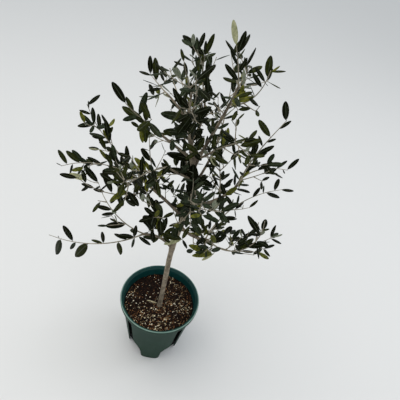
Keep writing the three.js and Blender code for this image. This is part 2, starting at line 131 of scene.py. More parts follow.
def set_ramp(node: bpy.types.Node, places: Sequence[float], colours: Sequence[str]) -> None:
    """Sets a colour ramp's stops.

    Args:
        node: A Color Ramp node.
        places: The place of each stop from 0 to 1, in order.
        colours: The sRGB hex colour of each.
    """
    elements = node.color_ramp.elements
    while len(elements) < len(places):
        elements.new(0.5)
    for element, place, colour in zip(elements, places, colours):
        element.position = place
        element.color = linear(colour)


@dataclass(frozen=True)
class Finish:
    """A mottled surface: three shades dealt by a noise, and a fine grain in relief that varies the gloss."""

    name: str
    shades: tuple[str, str, str]
    roughness: float
    ior: float
    mottle_mm: float
    grain_mm: float
    grain_height_mm: float
    stretch: float = 1.0
    gloss: float = 0.5
    gloss_tint: str = "ffffff"
    shade_places: tuple[float, float, float] = (0.34, 0.5, 0.66)
    grain_low: float = 0.3
    grain_high: float = 0.7
    roughness_spread: float = 0.07
    grain_strength: float = 0.6

    def material(self) -> bpy.types.Material:
        """Builds the material.

        Returns:
            The new material.
        """
        material, shader = start_material(self.name, self.ior, self.gloss)
        shader.inputs["Specular Tint"].default_value = linear(self.gloss_tint)
        tree = material.node_tree
        place = add_node(tree, "TexCoord").outputs["Object"]
        place = add_node(tree, "Mapping", {"Vector": place, "Scale": (1, 1, self.stretch)}).outputs[0]
        scale = 1 / (self.mottle_mm * MM)
        mottle = add_node(tree, "TexNoise", {"Vector": place, "Scale": scale, "Detail": 4, "Roughness": 0.6})
        ramp = add_node(tree, "ValToRGB", {"Fac": mottle.outputs["Fac"]})
        set_ramp(ramp, self.shade_places, self.shades)
        tree.links.new(ramp.outputs["Color"], shader.inputs["Base Color"])
        grain = add_node(tree, "TexNoise", {"Vector": place, "Scale": 1 / (self.grain_mm * MM), "Detail": 3})
        least, most = self.roughness - self.roughness_spread, self.roughness + self.roughness_spread
        span = {"From Min": self.grain_low, "From Max": self.grain_high, "To Min": least, "To Max": most}
        rough = add_node(tree, "MapRange", {"Value": grain.outputs["Fac"]} | span)
        tree.links.new(rough.outputs[0], shader.inputs["Roughness"])
        relief = {"Height": grain.outputs["Fac"], "Strength": self.grain_strength}
        bump = add_node(tree, "Bump", relief | {"Distance": self.grain_height_mm * MM})
        tree.links.new(bump.outputs["Normal"], shader.inputs["Normal"])
        return material


@dataclass(frozen=True)
class BarkFinish:
    """Smooth young bark: patches of grey-brown, finely cracked along its length, with corky dots.

    The cracks are about 1.6 mm apart and the dots about 3 mm, as on a young trunk. Both come in over a range
    of their pattern, and cover their share where they are full.
    """

    name: str
    shades: tuple[str, str, str]
    crack: str
    dot: str
    roughness: float = 0.82
    ior: float = 1.5
    gloss: float = 0.5
    mottle_mm: float = 9.0
    shade_places: tuple[float, float, float] = (0.36, 0.5, 0.64)
    crack_mm: float = 1.6
    crack_stretch: float = 0.16
    crack_from: float = 0.44
    crack_full: float = 0.3
    crack_share: float = 0.75
    dot_mm: float = 3.2
    dot_from: float = 0.26
    dot_full: float = 0.12
    dot_share: float = 0.6
    relief_height_mm: float = 0.35
    relief_strength: float = 0.8

    def material(self) -> bpy.types.Material:
        """Builds the material.

        Returns:
            The new material.
        """
        material, shader = start_material(self.name, self.ior, self.gloss)
        shader.inputs["Roughness"].default_value = self.roughness
        tree = material.node_tree
        place = add_node(tree, "TexCoord").outputs["Object"]
        patch = add_node(tree, "TexNoise", {"Vector": place, "Scale": 1 / (self.mottle_mm * MM), "Detail": 5})
        ramp = add_node(tree, "ValToRGB", {"Fac": patch.outputs["Fac"]})
        set_ramp(ramp, self.shade_places, self.shades)
        long = add_node(tree, "Mapping", {"Vector": place, "Scale": (1, 1, self.crack_stretch)}).outputs[0]
        scale = 1 / (self.crack_mm * MM)
        cracks = add_node(tree, "TexNoise", {"Vector": long, "Scale": scale, "Detail": 4, "Roughness": 0.7})
        span = {"From Min": self.crack_from, "From Max": self.crack_full, "To Max": self.crack_share}
        share = add_node(tree, "MapRange", {"Value": cracks.outputs["Fac"]} | span)
        mix = {MIX_SHARE: share.outputs[0], MIX_FIRST: ramp.outputs["Color"], MIX_SECOND: linear(self.crack)}
        cracked = add_node(tree, "Mix", mix, data_type="RGBA").outputs[MIX_RESULT]
        scale = 1 / (self.dot_mm * MM)
        dots = add_node(tree, "TexVoronoi", {"Vector": place, "Scale": scale, "Randomness": 1})
        span = {"From Min": self.dot_from, "From Max": self.dot_full, "To Max": self.dot_share}
        share = add_node(tree, "MapRange", {"Value": dots.outputs["Distance"]} | span)
        mix = {MIX_SHARE: share.outputs[0], MIX_FIRST: cracked, MIX_SECOND: linear(self.dot)}
        dotted = add_node(tree, "Mix", mix, data_type="RGBA").outputs[MIX_RESULT]
        tree.links.new(dotted, shader.inputs["Base Color"])
        relief = add_node(tree, "Math", {0: cracks.outputs["Fac"], 1: share.outputs[0]}, operation="ADD")
        skin = {"Height": relief.outputs[0], "Strength": self.relief_strength}
        bump = add_node(tree, "Bump", skin | {"Distance": self.relief_height_mm * MM})
        tree.links.new(bump.outputs["Normal"], shader.inputs["Normal"])
        return material


@dataclass(frozen=True)
class PotFinish:
    """Injection-moulded polypropylene, dulled outdoors: satin skin, clouds of wear and runs of dust low down.

    The mould's grain is about 0.2 mm, too fine to show, so the skin is drawn at 0.9 mm.
    """

    name: str
    plastic: str
    worn: str
    dust: str
    roughness: float
    ior: float = 1.49
    gloss: float = 0.5
    skin_mm: float = 0.9
    skin_height_mm: float = 0.05
    skin_strength: float = 0.5
    cloud_mm: float = 38.0
    wear_from: float = 0.4
    wear_full: float = 0.7
    wear_share: float = 0.7
    run_mm: float = 7.0
    run_stretch: float = 0.07
    dust_from_mm: float = 150.0
    dust_to_mm: float = 0.0
    dust_share: float = 0.5
    dust_roughness: float = 0.6

    def material(self) -> bpy.types.Material:
        """Builds the material.

        Returns:
            The new material.
        """
        material, shader = start_material(self.name, self.ior, self.gloss)
        tree = material.node_tree
        place = add_node(tree, "TexCoord").outputs["Object"]
        scale = 1 / (self.cloud_mm * MM)
        cloud = add_node(tree, "TexNoise", {"Vector": place, "Scale": scale, "Detail": 5, "Roughness": 0.65})
        span = {"From Min": self.wear_from, "From Max": self.wear_full, "To Max": self.wear_share}
        share = add_node(tree, "MapRange", {"Value": cloud.outputs["Fac"]} | span)
        mix = {MIX_SHARE: share.outputs[0], MIX_FIRST: linear(self.plastic), MIX_SECOND: linear(self.worn)}
        body = add_node(tree, "Mix", mix, data_type="RGBA").outputs[MIX_RESULT]
        height = add_node(tree, "SeparateXYZ", {"Vector": place}).outputs["Z"]
        start, end = self.dust_from_mm * MM, self.dust_to_mm * MM
        span = {"From Min": start, "From Max": end, "To Max": self.dust_share}
        low = add_node(tree, "MapRange", {"Value": height} | span)
        long = add_node(tree, "Mapping", {"Vector": place, "Scale": (1, 1, self.run_stretch)}).outputs[0]
        runs = add_node(tree, "TexNoise", {"Vector": long, "Scale": 1 / (self.run_mm * MM), "Detail": 3})
        dusted = add_node(tree, "Math", {0: low.outputs[0], 1: runs.outputs["Fac"]}, operation="MULTIPLY")
        mix = {MIX_SHARE: dusted.outputs[0], MIX_FIRST: body, MIX_SECOND: linear(self.dust)}
        dusty = add_node(tree, "Mix", mix, data_type="RGBA").outputs[MIX_RESULT]
        tree.links.new(dusty, shader.inputs["Base Color"])
        span = {"To Min": self.roughness, "To Max": self.roughness + self.dust_roughness}
        rough = add_node(tree, "MapRange", {"Value": dusted.outputs[0]} | span)
        tree.links.new(rough.outputs[0], shader.inputs["Roughness"])
        skin = add_node(tree, "TexNoise", {"Vector": place, "Scale": 1 / (self.skin_mm * MM), "Detail": 2})
        relief = {"Height": skin.outputs["Fac"], "Strength": self.skin_strength}
        bump = add_node(tree, "Bump", relief | {"Distance": self.skin_height_mm * MM})
        tree.links.new(bump.outputs["Normal"], shader.inputs["Normal"])
        return material


class Tint(Enum):
    """The leaf colours, which are dealt out by spray.

    Deep and olive leaves are full grown, and the deep ones' near-black green is partly painted shade of
    leaves inside the crown. Grey ones have more bloom, and young ones are thin and yellow-green.
    """

    DEEP = 0
    OLIVE = 1
    GREY = 2
    YOUNG = 3


def waxed_leaf(name: str, shades: tuple[str, str, str], gloss: float) -> Finish:
    """The upper face of an olive leaf: leathery, under a skin of wax.

    The wax gives the eye a broad dull sheen, warmed by the light in it, over dark green. The veins' grain is
    about 0.3 mm, too fine to show, and is drawn at 0.8 mm.

    Args:
        name: The material's name.
        shades: Its dark, middle and light green.
        gloss: How strong the sheen is.

    Returns:
        The finish.
    """
    return Finish(name, shades, 0.52, 1.45, 6, 0.8, 0.05, gloss=gloss, gloss_tint="fcf4b0")


# The deep tint's near-black green is partly painted shade of leaves inside the crown.
BLADES = {
    Tint.DEEP: waxed_leaf("waxed_leaf_deep_painted_shade", ("080a04", "0e1208", "171c0e"), 0.05),
    Tint.OLIVE: waxed_leaf("waxed_leaf_olive", ("151807", "22270d", "313613"), 0.06),
    Tint.GREY: waxed_leaf("waxed_leaf_grey", ("0f160d", "192215", "283323"), 0.1),
    Tint.YOUNG: waxed_leaf("waxed_leaf_young", ("34380e", "4f5217", "6c6c27"), 0.12),
}
# Leaf underside: a felt of silvery scales, pale and matt. The scales are 0.15 mm and drawn at 0.5 mm to show.
FELT = Finish("felted_leaf_underside", ("6b7261", "828873", "9a9e88"), 0.75, 1.4, 4, 0.5, 0.04)
# The same felt, thin on a young leaf, lets more of the green through.
YOUNG_FELT = Finish("felted_young_underside", ("8c8e68", "a3a37c", "bab792"), 0.72, 1.4, 4, 0.5, 0.04)
# Midrib: a sunk line of firm tissue without wax, dull and paler than most blades, its grain drawn at 0.5 mm.
RIB = Finish("leaf_midrib", ("1c2213", "282f1a", "363d22"), 0.6, 1.45, 4, 0.5, 0.03)
# Young shoot: a smooth rind with pale scales, which dull it to grey straw. They are drawn coarser, at 0.9 mm.
RIND = Finish("young_shoot_rind", ("6b6656", "857d6c", "9d9482"), 0.7, 1.45, 7, 0.9, 0.12, stretch=0.3)
# Bark of the trunk: thin cork, weathered outdoors, pale and matt with dark hairline cracks.
BARK = BarkFinish("young_olive_bark", ("655949", "7f7361", "9a8e7a"), "463c30", "aea38f")
# Bark of the boughs: the trunk's bark drawn darker and browner, as painted shade of the boughs inside the
# crown.
BOUGH_BARK_PAINTED_SHADE = BarkFinish("olive_bark_painted_shade", ("4c4336", "655a4a", "80745f"), "352d24", "968b78")
# Pot wall: dark green polypropylene as moulded, with a low sheen and dust on its lower part.
POT_OUTSIDE = PotFinish(
    "moulded_polypropylene", "032d20", "0a3527", "2c3826", 0.55, dust_share=0.4, gloss=0.22
)
# Pot rim's bead top: the same plastic, pale partly from rubbing by hands and sun and partly as a painted
# highlight.
POT_RIM_WEAR_AND_HIGHLIGHT = PotFinish("rubbed_polypropylene_painted_highlight", "668478", "8ea195", "a9b3a6", 0.45, dust_share=0.2)
# Pot inside: the same plastic, clean and damp, which gives it a deeper colour and a softer light.
POT_INSIDE = PotFinish("wet_polypropylene", "053533", "0a4240", "2c463f", 0.4, dust_share=0.1, gloss=0.3)
# Corner channels and their rounded edges: the same plastic painted near-black and without sheen, as painted
# shade of the recesses.
POT_PAINTED_SHADE = PotFinish("polypropylene_painted_shade", "020504", "040a08", "100f0b", 0.8, dust_share=0.2, gloss=0.04)
# The potting mix's grain is mostly under 0.5 mm, too fine to show, and is drawn at 0.7 to 1.1 mm.
# Peat: damp fines pressed together, so dark that only its crumbs catch the light.
PEAT = Finish("damp_peat", ("070302", "110906", "22150d"), 0.95, 1.4, 5, 1.1, 0.8, gloss=0.2)
# Composted bark: torn brown crumbs, matt and split.
BARK_CRUMB = Finish("composted_bark_crumb", ("120804", "24130a", "3d2514"), 0.9, 1.4, 6, 0.9, 0.4, gloss=0.25)
# Baked clay: tumbled orange-brown crumbs with a dry earthy face.
CLAY_CRUMB = Finish("baked_clay_crumb", ("5a3620", "7f5432", "a47a4c"), 0.9, 1.45, 8, 0.7, 0.3, gloss=0.3)
# Pumice: sieved cream grit, full of pores, the brightest specks of the mix.
PUMICE = Finish("pumice_grit", ("b8a585", "dccfae", "f3ecd9"), 0.92, 1.45, 8, 0.7, 0.35)
# Straw and coir fibre: chopped, dry and buff.
FIBRE = Finish("straw_fibre", ("7b6240", "a08660", "c7b189"), 0.85, 1.45, 8, 0.8, 0.2)
# Fallen leaf: dried to a papery buff, its wax gone dull.
DRY_LEAF = Finish("dry_leaf", ("8c8062", "a89c7c", "c3b99b"), 0.75, 1.45, 7, 1.0, 0.15)


# Meshes


@dataclass
class MeshParts:
    """Points and faces gathered for one joined mesh, in millimetres."""

    points: list[Vec] = field(default_factory=list)
    faces: list[Vec] = field(default_factory=list)
    slots: list[Vec] = field(default_factory=list)
    count: int = 0

    def add(self, points: Vec, faces: Vec, slot: int | Vec = 0) -> None:
        """Adds points, and faces that number those points from 0.

        Args:
            points: Rows of x, y, z.
            faces: Rows of three or four point numbers.
            slot: The material slot of all faces, or of each.
        """
        self.points.append(points)
        self.faces.append(faces + self.count)
        self.slots.append(np.broadcast_to(slot, (len(faces),)))
        self.count += len(points)

    def build(
        self, name: str, materials: Sequence[bpy.types.Material], smooth: bool = True
    ) -> bpy.types.Object:
        """Builds the joined mesh as one object in the model's frame.

        Args:
            name: The object's name.
            materials: One material for each slot.
            smooth: Whether the faces are shaded smooth.

        Returns:
            The new object, linked to the scene.
        """
        points = np.concatenate(self.points) * MM + POT_AXIS
        mesh = bpy.data.meshes.new(name)
        rows = [row for block in self.faces for row in block.tolist()]
        mesh.from_pydata(points.tolist(), [], rows)
        for material in materials:
            mesh.materials.append(material)
        mesh.polygons.foreach_set("material_index", np.concatenate(self.slots).astype(np.int32))
        mesh.polygons.foreach_set("use_smooth", np.full(len(mesh.polygons), smooth))
        mesh.update()
        piece = bpy.data.objects.new(name, mesh)
        bpy.context.scene.collection.objects.link(piece)
        return piece


def settle(piece: bpy.types.Object, slot: str, *nodes: str) -> None:
    """Attaches a piece of the plant to the root body, and hides the CAD nodes that it stands for.

    Args:
        piece: The object.
        slot: Not used.
        nodes: The CAD nodes that it stands for.
    """
    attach(piece, BODY)
    if nodes:
        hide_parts(*nodes)
    LOG.info("%s: %d faces", piece.name, len(piece.data.polygons))


def round_turns(count: int) -> Vec:
    """The angles of so many even steps round a full circle, in radians."""
    return np.arange(count) * (2 * math.pi / count)


def arc(centre: tuple[float, float], radii: tuple[float, float], start: float, end: float, count: int) -> Vec:
    """Points on an arc of an ellipse.

    Args:
        centre: Its centre.
        radii: Its radii across and up.
        start: Where it starts, in degrees.
        end: Where it ends, in degrees.
        count: The number of points.

    Returns:
        Rows of two coordinates.
    """
    turns = np.radians(np.linspace(start, end, count))
    return np.column_stack([np.cos(turns), np.sin(turns)]) * radii + centre


def bend(start: Vec, corner: Vec, end: Vec, count: int) -> Vec:
    """Points on a curve that leaves its start towards a corner and bends round to its end.

    Args:
        start: Its start.
        corner: The corner that it rounds.
        end: Its end.
        count: The number of points.

    Returns:
        Rows of points.
    """
    t = np.linspace(0, 1, count)[:, None]
    return start * (1 - t) ** 2 + corner * 2 * t * (1 - t) + end * t**2


def grid_faces(rows: int, columns: int, closed: bool) -> Vec:
    """The quads of a grid of points, row by row.

    Args:
        rows: Number of rows of points.
        columns: Number of points in a row.
        closed: Whether each row joins up with its own start.

    Returns:
        Rows of four point numbers.
    """
    across = np.arange(columns if closed else columns - 1)
    quads = []
    for row in range(rows - 1):
        a = row * columns + across
        b = row * columns + (across + 1) % columns
        quads.append(np.stack([a, b, b + columns, a + columns], axis=1))
    return np.concatenate(quads)


def tube(path: Vec, radii: Vec, sides: int, relief: Callable[[Vec], float] | None = None) -> tuple[Vec, Vec]:
    """A round body along a path, closed at both ends.

    Args:
        path: Rows of points along its middle line.
        radii: The radius at each point.
        sides: Points in each ring.
        relief: Gives how far the skin stands out at a point of it.

    Returns:
        Its points and its quads.
    """
    ahead = np.gradient(path, axis=0)
    ahead /= np.linalg.norm(ahead, axis=1)[:, None]
    across = square_to(ahead[0])[1]
    turns = round_turns(sides)
    rings = []
    for point, direction, radius in zip(path, ahead, radii):
        across = across - direction * across.dot(direction)
        across /= np.linalg.norm(across)
        beside = np.cross(direction, across)
        out = np.outer(np.cos(turns), across) + np.outer(np.sin(turns), beside)
        if relief is None:
            rings.append(point + out * radius)
        else:
            stand = np.array([relief(point + row * radius) for row in out])
            rings.append(point + out * (radius + stand)[:, None])
    rings.insert(0, np.repeat(path[:1], sides, axis=0))
    rings.append(np.repeat(path[-1:], sides, axis=0))
    return np.concatenate(rings), grid_faces(len(rings), sides, True)


# The growth rule


class Stream:
    """A repeatable stream of numbers from 0 to 1, by the linear congruential rule."""

    SEED_FACTOR = 2654435761
    FACTOR = 1664525
    INCREMENT = 1013904223
    RANGE = 2**32

    def __init__(self, seed: int) -> None:
        """Starts the stream.

        Args:
            seed: Any whole number.
        """
        self.state = ((seed + 1) * self.SEED_FACTOR) % self.RANGE

    def draw(self) -> float:
        """The next number from 0 to 1."""
        self.state = (self.state * self.FACTOR + self.INCREMENT) % self.RANGE
        return self.state / self.RANGE

    def spread(self, span: float) -> float:
        """The next number, spread evenly about zero over a full span."""
        return span * (self.draw() - 0.5)


def unit(vector: Vec) -> Vec:
    """The vector made one long."""
    return vector / np.linalg.norm(vector)


def heading(azimuth: float, rise: float) -> Vec:
    """The unit vector that heads by azimuth and rise, in degrees."""
    a, e = math.radians(azimuth), math.radians(rise)
    return np.array([math.cos(e) * math.cos(a), math.cos(e) * math.sin(a), math.sin(e)])


def square_to(direction: Vec) -> tuple[Vec, Vec]:
    """Finds two unit vectors square to a direction and to each other.

    Args:
        direction: A unit vector.

    Returns:
        A level vector, or +X where the direction is upright, and the one square to both.
    """
    nearly_upright = 0.05
    level = np.array([direction[1], -direction[0], 0.0])
    if np.linalg.norm(level) < nearly_upright:
        level = np.array([1.0, 0.0, 0.0])
    level = unit(level)
    return level, unit(np.cross(level, direction))


def leaning(along: Vec, roll: float, angle: float) -> Vec:
    """Leans away from a direction.

    Args:
        along: The direction.
        roll: The side to lean to, in degrees about the direction.
        angle: How far to lean, in degrees.

    Returns:
        The unit vector of the leaning direction.
    """
    level, upper = square_to(along)
    out = level * math.cos(math.radians(roll)) + upper * math.sin(math.radians(roll))
    lean = math.radians(angle)
    return unit(along * math.cos(lean) + out * math.sin(lean))


def smooth_path(stations: Vec, steps: int) -> Vec:
    """A smooth path through stations, by the Catmull-Rom formula.

    Args:
        stations: Rows of points.
        steps: Steps along the whole path.

    Returns:
        Rows of points, one more than the steps.
    """
    last = len(stations) - 1
    knots = np.vstack([2 * stations[0] - stations[1], stations, 2 * stations[-1] - stations[-2]])
    path = []
    for k in range(steps + 1):
        along = k / steps * last
        i = min(math.floor(along), last - 1)
        t = along - i
        p0, p1, p2, p3 = knots[i : i + 4]
        square, cube = 2 * p0 - 5 * p1 + 4 * p2 - p3, 3 * p1 - p0 - 3 * p2 + p3
        path.append(0.5 * (2 * p1 + (p2 - p0) * t + square * t * t + cube * t**3))
    return np.array(path)


def point_at(path: Vec, share: float) -> tuple[Vec, Vec]:
    """Finds a place on a path.

    Args:
        path: Rows of points.
        share: How far along the path's steps the place is, from 0 to 1.

    Returns:
        The point, and the unit vector of the path's direction there.
    """
    along = share * (len(path) - 1)
    i = min(math.floor(along), len(path) - 2)
    run = path[i + 1] - path[i]
    return path[i] + run * (along - i), unit(run)


@dataclass(frozen=True)
class Course:
    """A limb's course: it heads by azimuth and rise, which turn evenly by sway and bend."""

    azimuth: float
    rise: float
    length: float
    sway: float
    bend: float

    def path(self, start: Vec, steps: int) -> Vec:
        """Draws the middle line in equal steps.

        Args:
            start: Where it starts.
            steps: The number of steps.

        Returns:
            Rows of points, one more than the steps.
        """
        points = [start]
        for i in range(steps):
            share = (i + 0.5) / steps
            step = heading(self.azimuth + self.sway * share, self.rise + self.bend * share)
            points.append(points[-1] + step * (self.length / steps))
        return np.array(points)


@dataclass(frozen=True)
class Bough:
    """One bough: where it leaves the trunk, its course and its radii."""

    name: str
    at: float
    course: Course
    root: float
    tip: float


@dataclass(frozen=True)
class Mass:
    """One mass of foliage: where its stem starts, the stem's course, and its leaves and side shoots."""

    name: str
    on: str
    at: float
    course: Course
    leaf: float
    spacing: float
    shoot: float
    shoot_share: float


def bough(name: str, at: float, *figures: float) -> Bough:
    """A bough from one row of figures: its course (5), and its root's and tip's radius."""
    return Bough(name, at, Course(*figures[:5]), *figures[5:])


def mass(name: str, on: str, at: float, *figures: float) -> Mass:
    """A mass from one row of figures: its stem's course (5), leaf, spacing, shoot and share of shoots."""
    return Mass(name, on, at, Course(*figures[:5]), *figures[5:])


BOUGHS = (
    bough("low_left", 0.26, -158, 61, 104, 35, -31, 3.2, 1.9),
    bough("left", 0.4, 167, 36, 96, -27, -44, 3.6, 2.4),
    bough("upper_left", 0.68, -162, 39, 111, 24, 6, 2.6, 1.6),
    bough("mid_left", 0.83, 128, 28, 64, 25, -8, 2, 1.5),
    bough("mid_spire", 0.75, 41, 51, 71, 80, 8, 2.2, 1.6),
    bough("right_top", 0.65, 47, 70, 162, -78, 9, 3.2, 1.9),
    bough("right", 0.47, -21, 35, 121, -4, 34, 3.4, 2.1),
    bough("lower_right", 0.36, -52, 15, 92, 9, 29, 3.2, 2.1),
    bough("front", 0.5, -100, 30, 80, 10, 20, 2.4, 1.6),
    bough("front_left", 0.6, -140, 35, 85, 20, 10, 2.2, 1.5),
    bough("front_right", 0.68, -60, 40, 75, 15, 15, 2, 1.5),
    bough("back_left", 0.54, 128, 25, 110, -20, 30, 2.6, 1.6),
    bough("back_right", 0.58, 62, 32, 105, 20, 20, 2.6, 1.6),
    bough("back", 0.72, 100, 20, 80, -5, 25, 2.2, 1.5),
)
MASSES = (
    mass("low_left", "low_left", 1, -156, -27, 167, -27, 36, 29, 25, 40, 0.06),
    mass("low_left_up", "low_left", 0.92, 181, 10, 128, -38, 49, 30, 23, 45, 0.17),
    mass("left_inner", "low_left", 0.43, -128, 72, 145, 39, -2, 37, 22, 55, 0.43),
    mass("left_main", "left", 1, 147, 17, 192, 63, 58, 33, 18, 55, 0.41),
    mass("left_far", "left", 0.93, 180, 36, 183, 65, -21, 34, 24, 45, 0.17),
    mass("left_low", "left", 0.84, -121, 14, 206, -3, 42, 32, 23, 45, 0.23),
    mass("left_rise", "left", 0.71, 170, 69, 141, 28, 19, 29, 23, 40, 0.17),
    mass("upper_left", "upper_left", 1, -124, 44, 70, 13, 4, 40, 21, 45, 0.36),
    mass("mid_left", "mid_left", 1, 131, 0, 61, -1, 6, 36, 17, 45, 0.43),
    mass("left_spire", "trunk", 1, -133, 63, 59, 18, 1, 33, 17, 40, 0.43),
    mass("mid_spire", "mid_spire", 1, 156, 65, 65, 4, 27, 38, 17, 45, 0.43),
    mass("right_top_up", "right_top", 1, -155, 78, 63, 13, -12, 38, 19, 40, 0.17),
    mass("right_top_out", "right_top", 0.94, 74, 30, 46, -4, 8, 32, 16, 40, 0.36),
    mass("right_top_side", "right_top", 0.79, -32, 26, 101, -26, 59, 31, 20, 40, 0.36),
    mass("right_upper", "right", 1, 23, 83, 147, -89, -20, 27, 17, 45, 0.32),
    mass("right_side", "right", 0.92, 77, 6, 126, -68, -11, 22, 18, 30, 0.07),
    mass("right_inner", "right", 0.59, 117, 66, 98, 41, 7, 28, 19, 40, 0.36),
    mass("lower_right", "lower_right", 1, -46, 5, 155, 48, 97, 29, 17, 45, 0.38),
    mass("right_mid", "lower_right", 0.9, 69, 39, 163, -66, -15, 23, 18, 35, 0.12),
    mass("lower_right_front", "lower_right", 0.8, -70, 40, 84, 8, 10, 29, 17, 36, 0.38),
    mass("fork_front", "trunk", 0.39, -118, 22, 46, 15, 10, 34, 11, 30, 0),
    mass("front", "front", 1, -78, 45, 108, 9, -23, 32, 20, 45, 0.41),
    mass("front_left", "front_left", 1, -123, 20, 112, 16, -19, 32, 20, 40, 0.36),
    mass("front_right", "front_right", 1, -44, 48, 84, -14, -6, 30, 19, 40, 0.3),
    mass("back_left", "back_left", 1, 108, 50, 95, 10, -15, 33, 19, 45, 0.41),
    mass("back_right", "back_right", 1, 88, 45, 95, 5, -15, 33, 19, 45, 0.41),
    mass("back", "back", 1, 98, 40, 70, 5, 10, 33, 19, 45, 0.36),
    mass("front_top", "trunk", 0.9, -77, 35, 112, -8, 28, 38, 17, 35, 0.14),
    mass("inner_back", "trunk", 0.49, 120, 52, 115, -27, 26, 34, 19, 45, 0.36),
    mass("low_back", "trunk", 0.33, 74, 19, 100, 52, -25, 34, 19, 45, 0.36),
    mass("low_back_right", "trunk", 0.45, 47, 15, 78, -11, 8, 33, 19, 40, 0.29),
    mass("back_top", "trunk", 0.89, 131, 19, 105, -5, 26, 33, 18, 40, 0.29),
    mass("low_right", "trunk", 0.34, 11, 7, 100, -1, -9, 33, 18, 35, 0.29),
)


@dataclass(frozen=True)
class TrunkForm:
    """The trunk: the stations of its middle line, and its taper with a flare at the soil."""

    stations: tuple[tuple[float, float, float], ...] = (
        (2, -6, 153.3),
        (3.5, -4.5, 250),
        (5, -3, 350),
        (14, 0, 430),
        (24, 6, 488),
        (17, 9, 542),
        (1, 8, 610),
        (-8, 7, 645),
        (-10, 3, 692),
    )
    steps: int = 26
    root_radius: float = 6.4
    tip_radius: float = 1.5
    flare: float = 3.2
    flare_height: float = 10

    def radii(self, path: Vec) -> Vec:
        """The radii along the trunk's middle line.

        Args:
            path: Points of the line in equal steps, from the soil up.

        Returns:
            The radius at each point.
        """
        share = np.linspace(0, 1, len(path))
        taper = self.tip_radius + (self.root_radius - self.tip_radius) * (1 - share * share)
        return taper + self.flare * np.exp(-(path[:, 2] - path[0][2]) / self.flare_height)


@dataclass(frozen=True)
class View:
    """The photograph's view: the camera's place in millimetres, and its angles in degrees.

    Its focal length and the middle of the picture are in photo pixels.
    """

    eye: tuple[float, float, float] = (37.3, -523.0, 969.3)
    pitch: float = 42.04
    roll: float = 13.33
    focal: float = 401
    middle: float = 200

    def axes(self) -> tuple[Vec, Vec, Vec]:
        """Gives the view's directions.

        Returns:
            The unit vectors across the picture, up it and into it.
        """
        forward = heading(90, -self.pitch)
        right, up = np.array([1.0, 0.0, 0.0]), heading(90, 90 - self.pitch)
        roll = math.radians(self.roll)
        across = right * math.cos(roll) + up * math.sin(roll)
        return across, up * math.cos(roll) - right * math.sin(roll), forward

    def place(self, x: float, y: float, depth: float) -> Vec:
        """Finds a place from its photo pixel.

        Args:
            x: The pixel's column.
            y: The pixel's row.
            depth: The place's own y, in millimetres.

        Returns:
            The place.
        """
        across, upward, forward = self.axes()
        ray = forward + (across * (x - self.middle) - upward * (y - self.middle)) / self.focal
        return self.eye + ray * (depth - self.eye[1]) / ray[1]


VIEW = View()


@dataclass(frozen=True)
class Opening:
    """A gap in the crown, seen from the front: its middle and radius where the line of sight meets y = 0."""

    x: float
    z: float
    radius: float


# The photo shows sky at these places. Each row is the x, the z and the radius of an opening.
OPENINGS = tuple(
    Opening(*row)
    for row in (
        (-103, 595, 17), (-130, 640, 18), (-190, 560, 17), (-96, 420, 14), (-185, 425, 20), (-132, 450, 9),
        (-153, 503, 7), (-88, 578, 12), (-47, 576, 11), (-45, 545, 8), (-53, 641, 11), (-48, 670, 9),
        (-103, 683, 9), (-103, 708, 15), (-52, 742, 15), (-168, 372, 22), (-225, 430, 35), (98, 706, 15),
        (80, 664, 15), (62, 606, 10), (27, 590, 6), (118, 577, 13), (175, 590, 14), (152, 652, 16),
        (157, 507, 20), (121, 497, 9), (66, 473, 9), (-13, 459, 9), (-4, 432, 8), (14, 778, 13),
        (19, 730, 10), (38, 710, 8), (-28, 704, 6), (28, 340, 10), (126, 462, 9), (92, 487, 7),
        (115, 350, 25), (160, 370, 23), (75, 335, 15), (110, 305, 30), (150, 330, 25),
    )
)


def in_opening(points: Vec, share: float) -> bool:
    """Whether any of the points, seen from the front, lies in an opening.

    Args:
        points: Rows of points.
        share: How much of each opening's radius counts.

    Returns:
        Whether one does.
    """
    eye = np.array(VIEW.eye)
    ahead = points - eye
    seen = eye + ahead * (-eye[1] / ahead[:, 1])[:, None]
    middles = np.array([(o.x, o.z, o.radius * share) for o in OPENINGS])
    gaps = np.linalg.norm(seen[:, None, [0, 2]] - middles[None, :, :2], axis=2)
    return bool((gaps < middles[:, 2]).any())


@dataclass(frozen=True)
class Dress:
    """How a mass is dressed: its spacing and leaf size against the solids', and its share of young leaves.

    Leaves grow by chance up to a share of the stem, and past that only where the photo shows them.
    """

    spacing: float = 1.0
    size: float = 0.95
    young: float = 0.05
    upto: float = 1.0


# Masses near the viewer, the spurs of the boughs and those of the trunk.
NEAR = Dress(0.85, 0.85)
SPUR = Dress(1.3, 0.9)
TRUNK_SPUR = Dress(0.9, 0.9)
DRESSES = {
    "low_left": Dress(upto=0.2),
    "low_left_up": Dress(upto=0.85),
    "left_inner": Dress(young=0.12),
    "left_main": Dress(young=0.12, upto=0.75),
    "left_far": Dress(young=0.15, upto=0.66),
    "left_low": Dress(1.2),
    "left_rise": Dress(1.2, young=0.15),
    "upper_left": Dress(0.85, 0.85, upto=0.4),
    "mid_left": Dress(0.85, 0.85, 0.15, 0.6),
    "left_spire": Dress(1.1, 0.85, upto=0.8),
    "mid_spire": Dress(1.1, 0.85, upto=0.8),
    "back_top": Dress(1.2),
    "right_top_up": Dress(upto=0.1),
    "right_top_side": Dress(young=0.25, upto=0.7),
    "right_upper": Dress(upto=0.42),
    "right_side": Dress(upto=0.58),
    "right_mid": Dress(upto=0.45),
    "lower_right": Dress(upto=0.8),
    "lower_right_front": Dress(young=0.12),
    "fork_front": Dress(young=0.15),
    "front": NEAR,
    "front_left": Dress(1.0, 0.85),
    "front_right": NEAR,
    "front_top": NEAR,
}


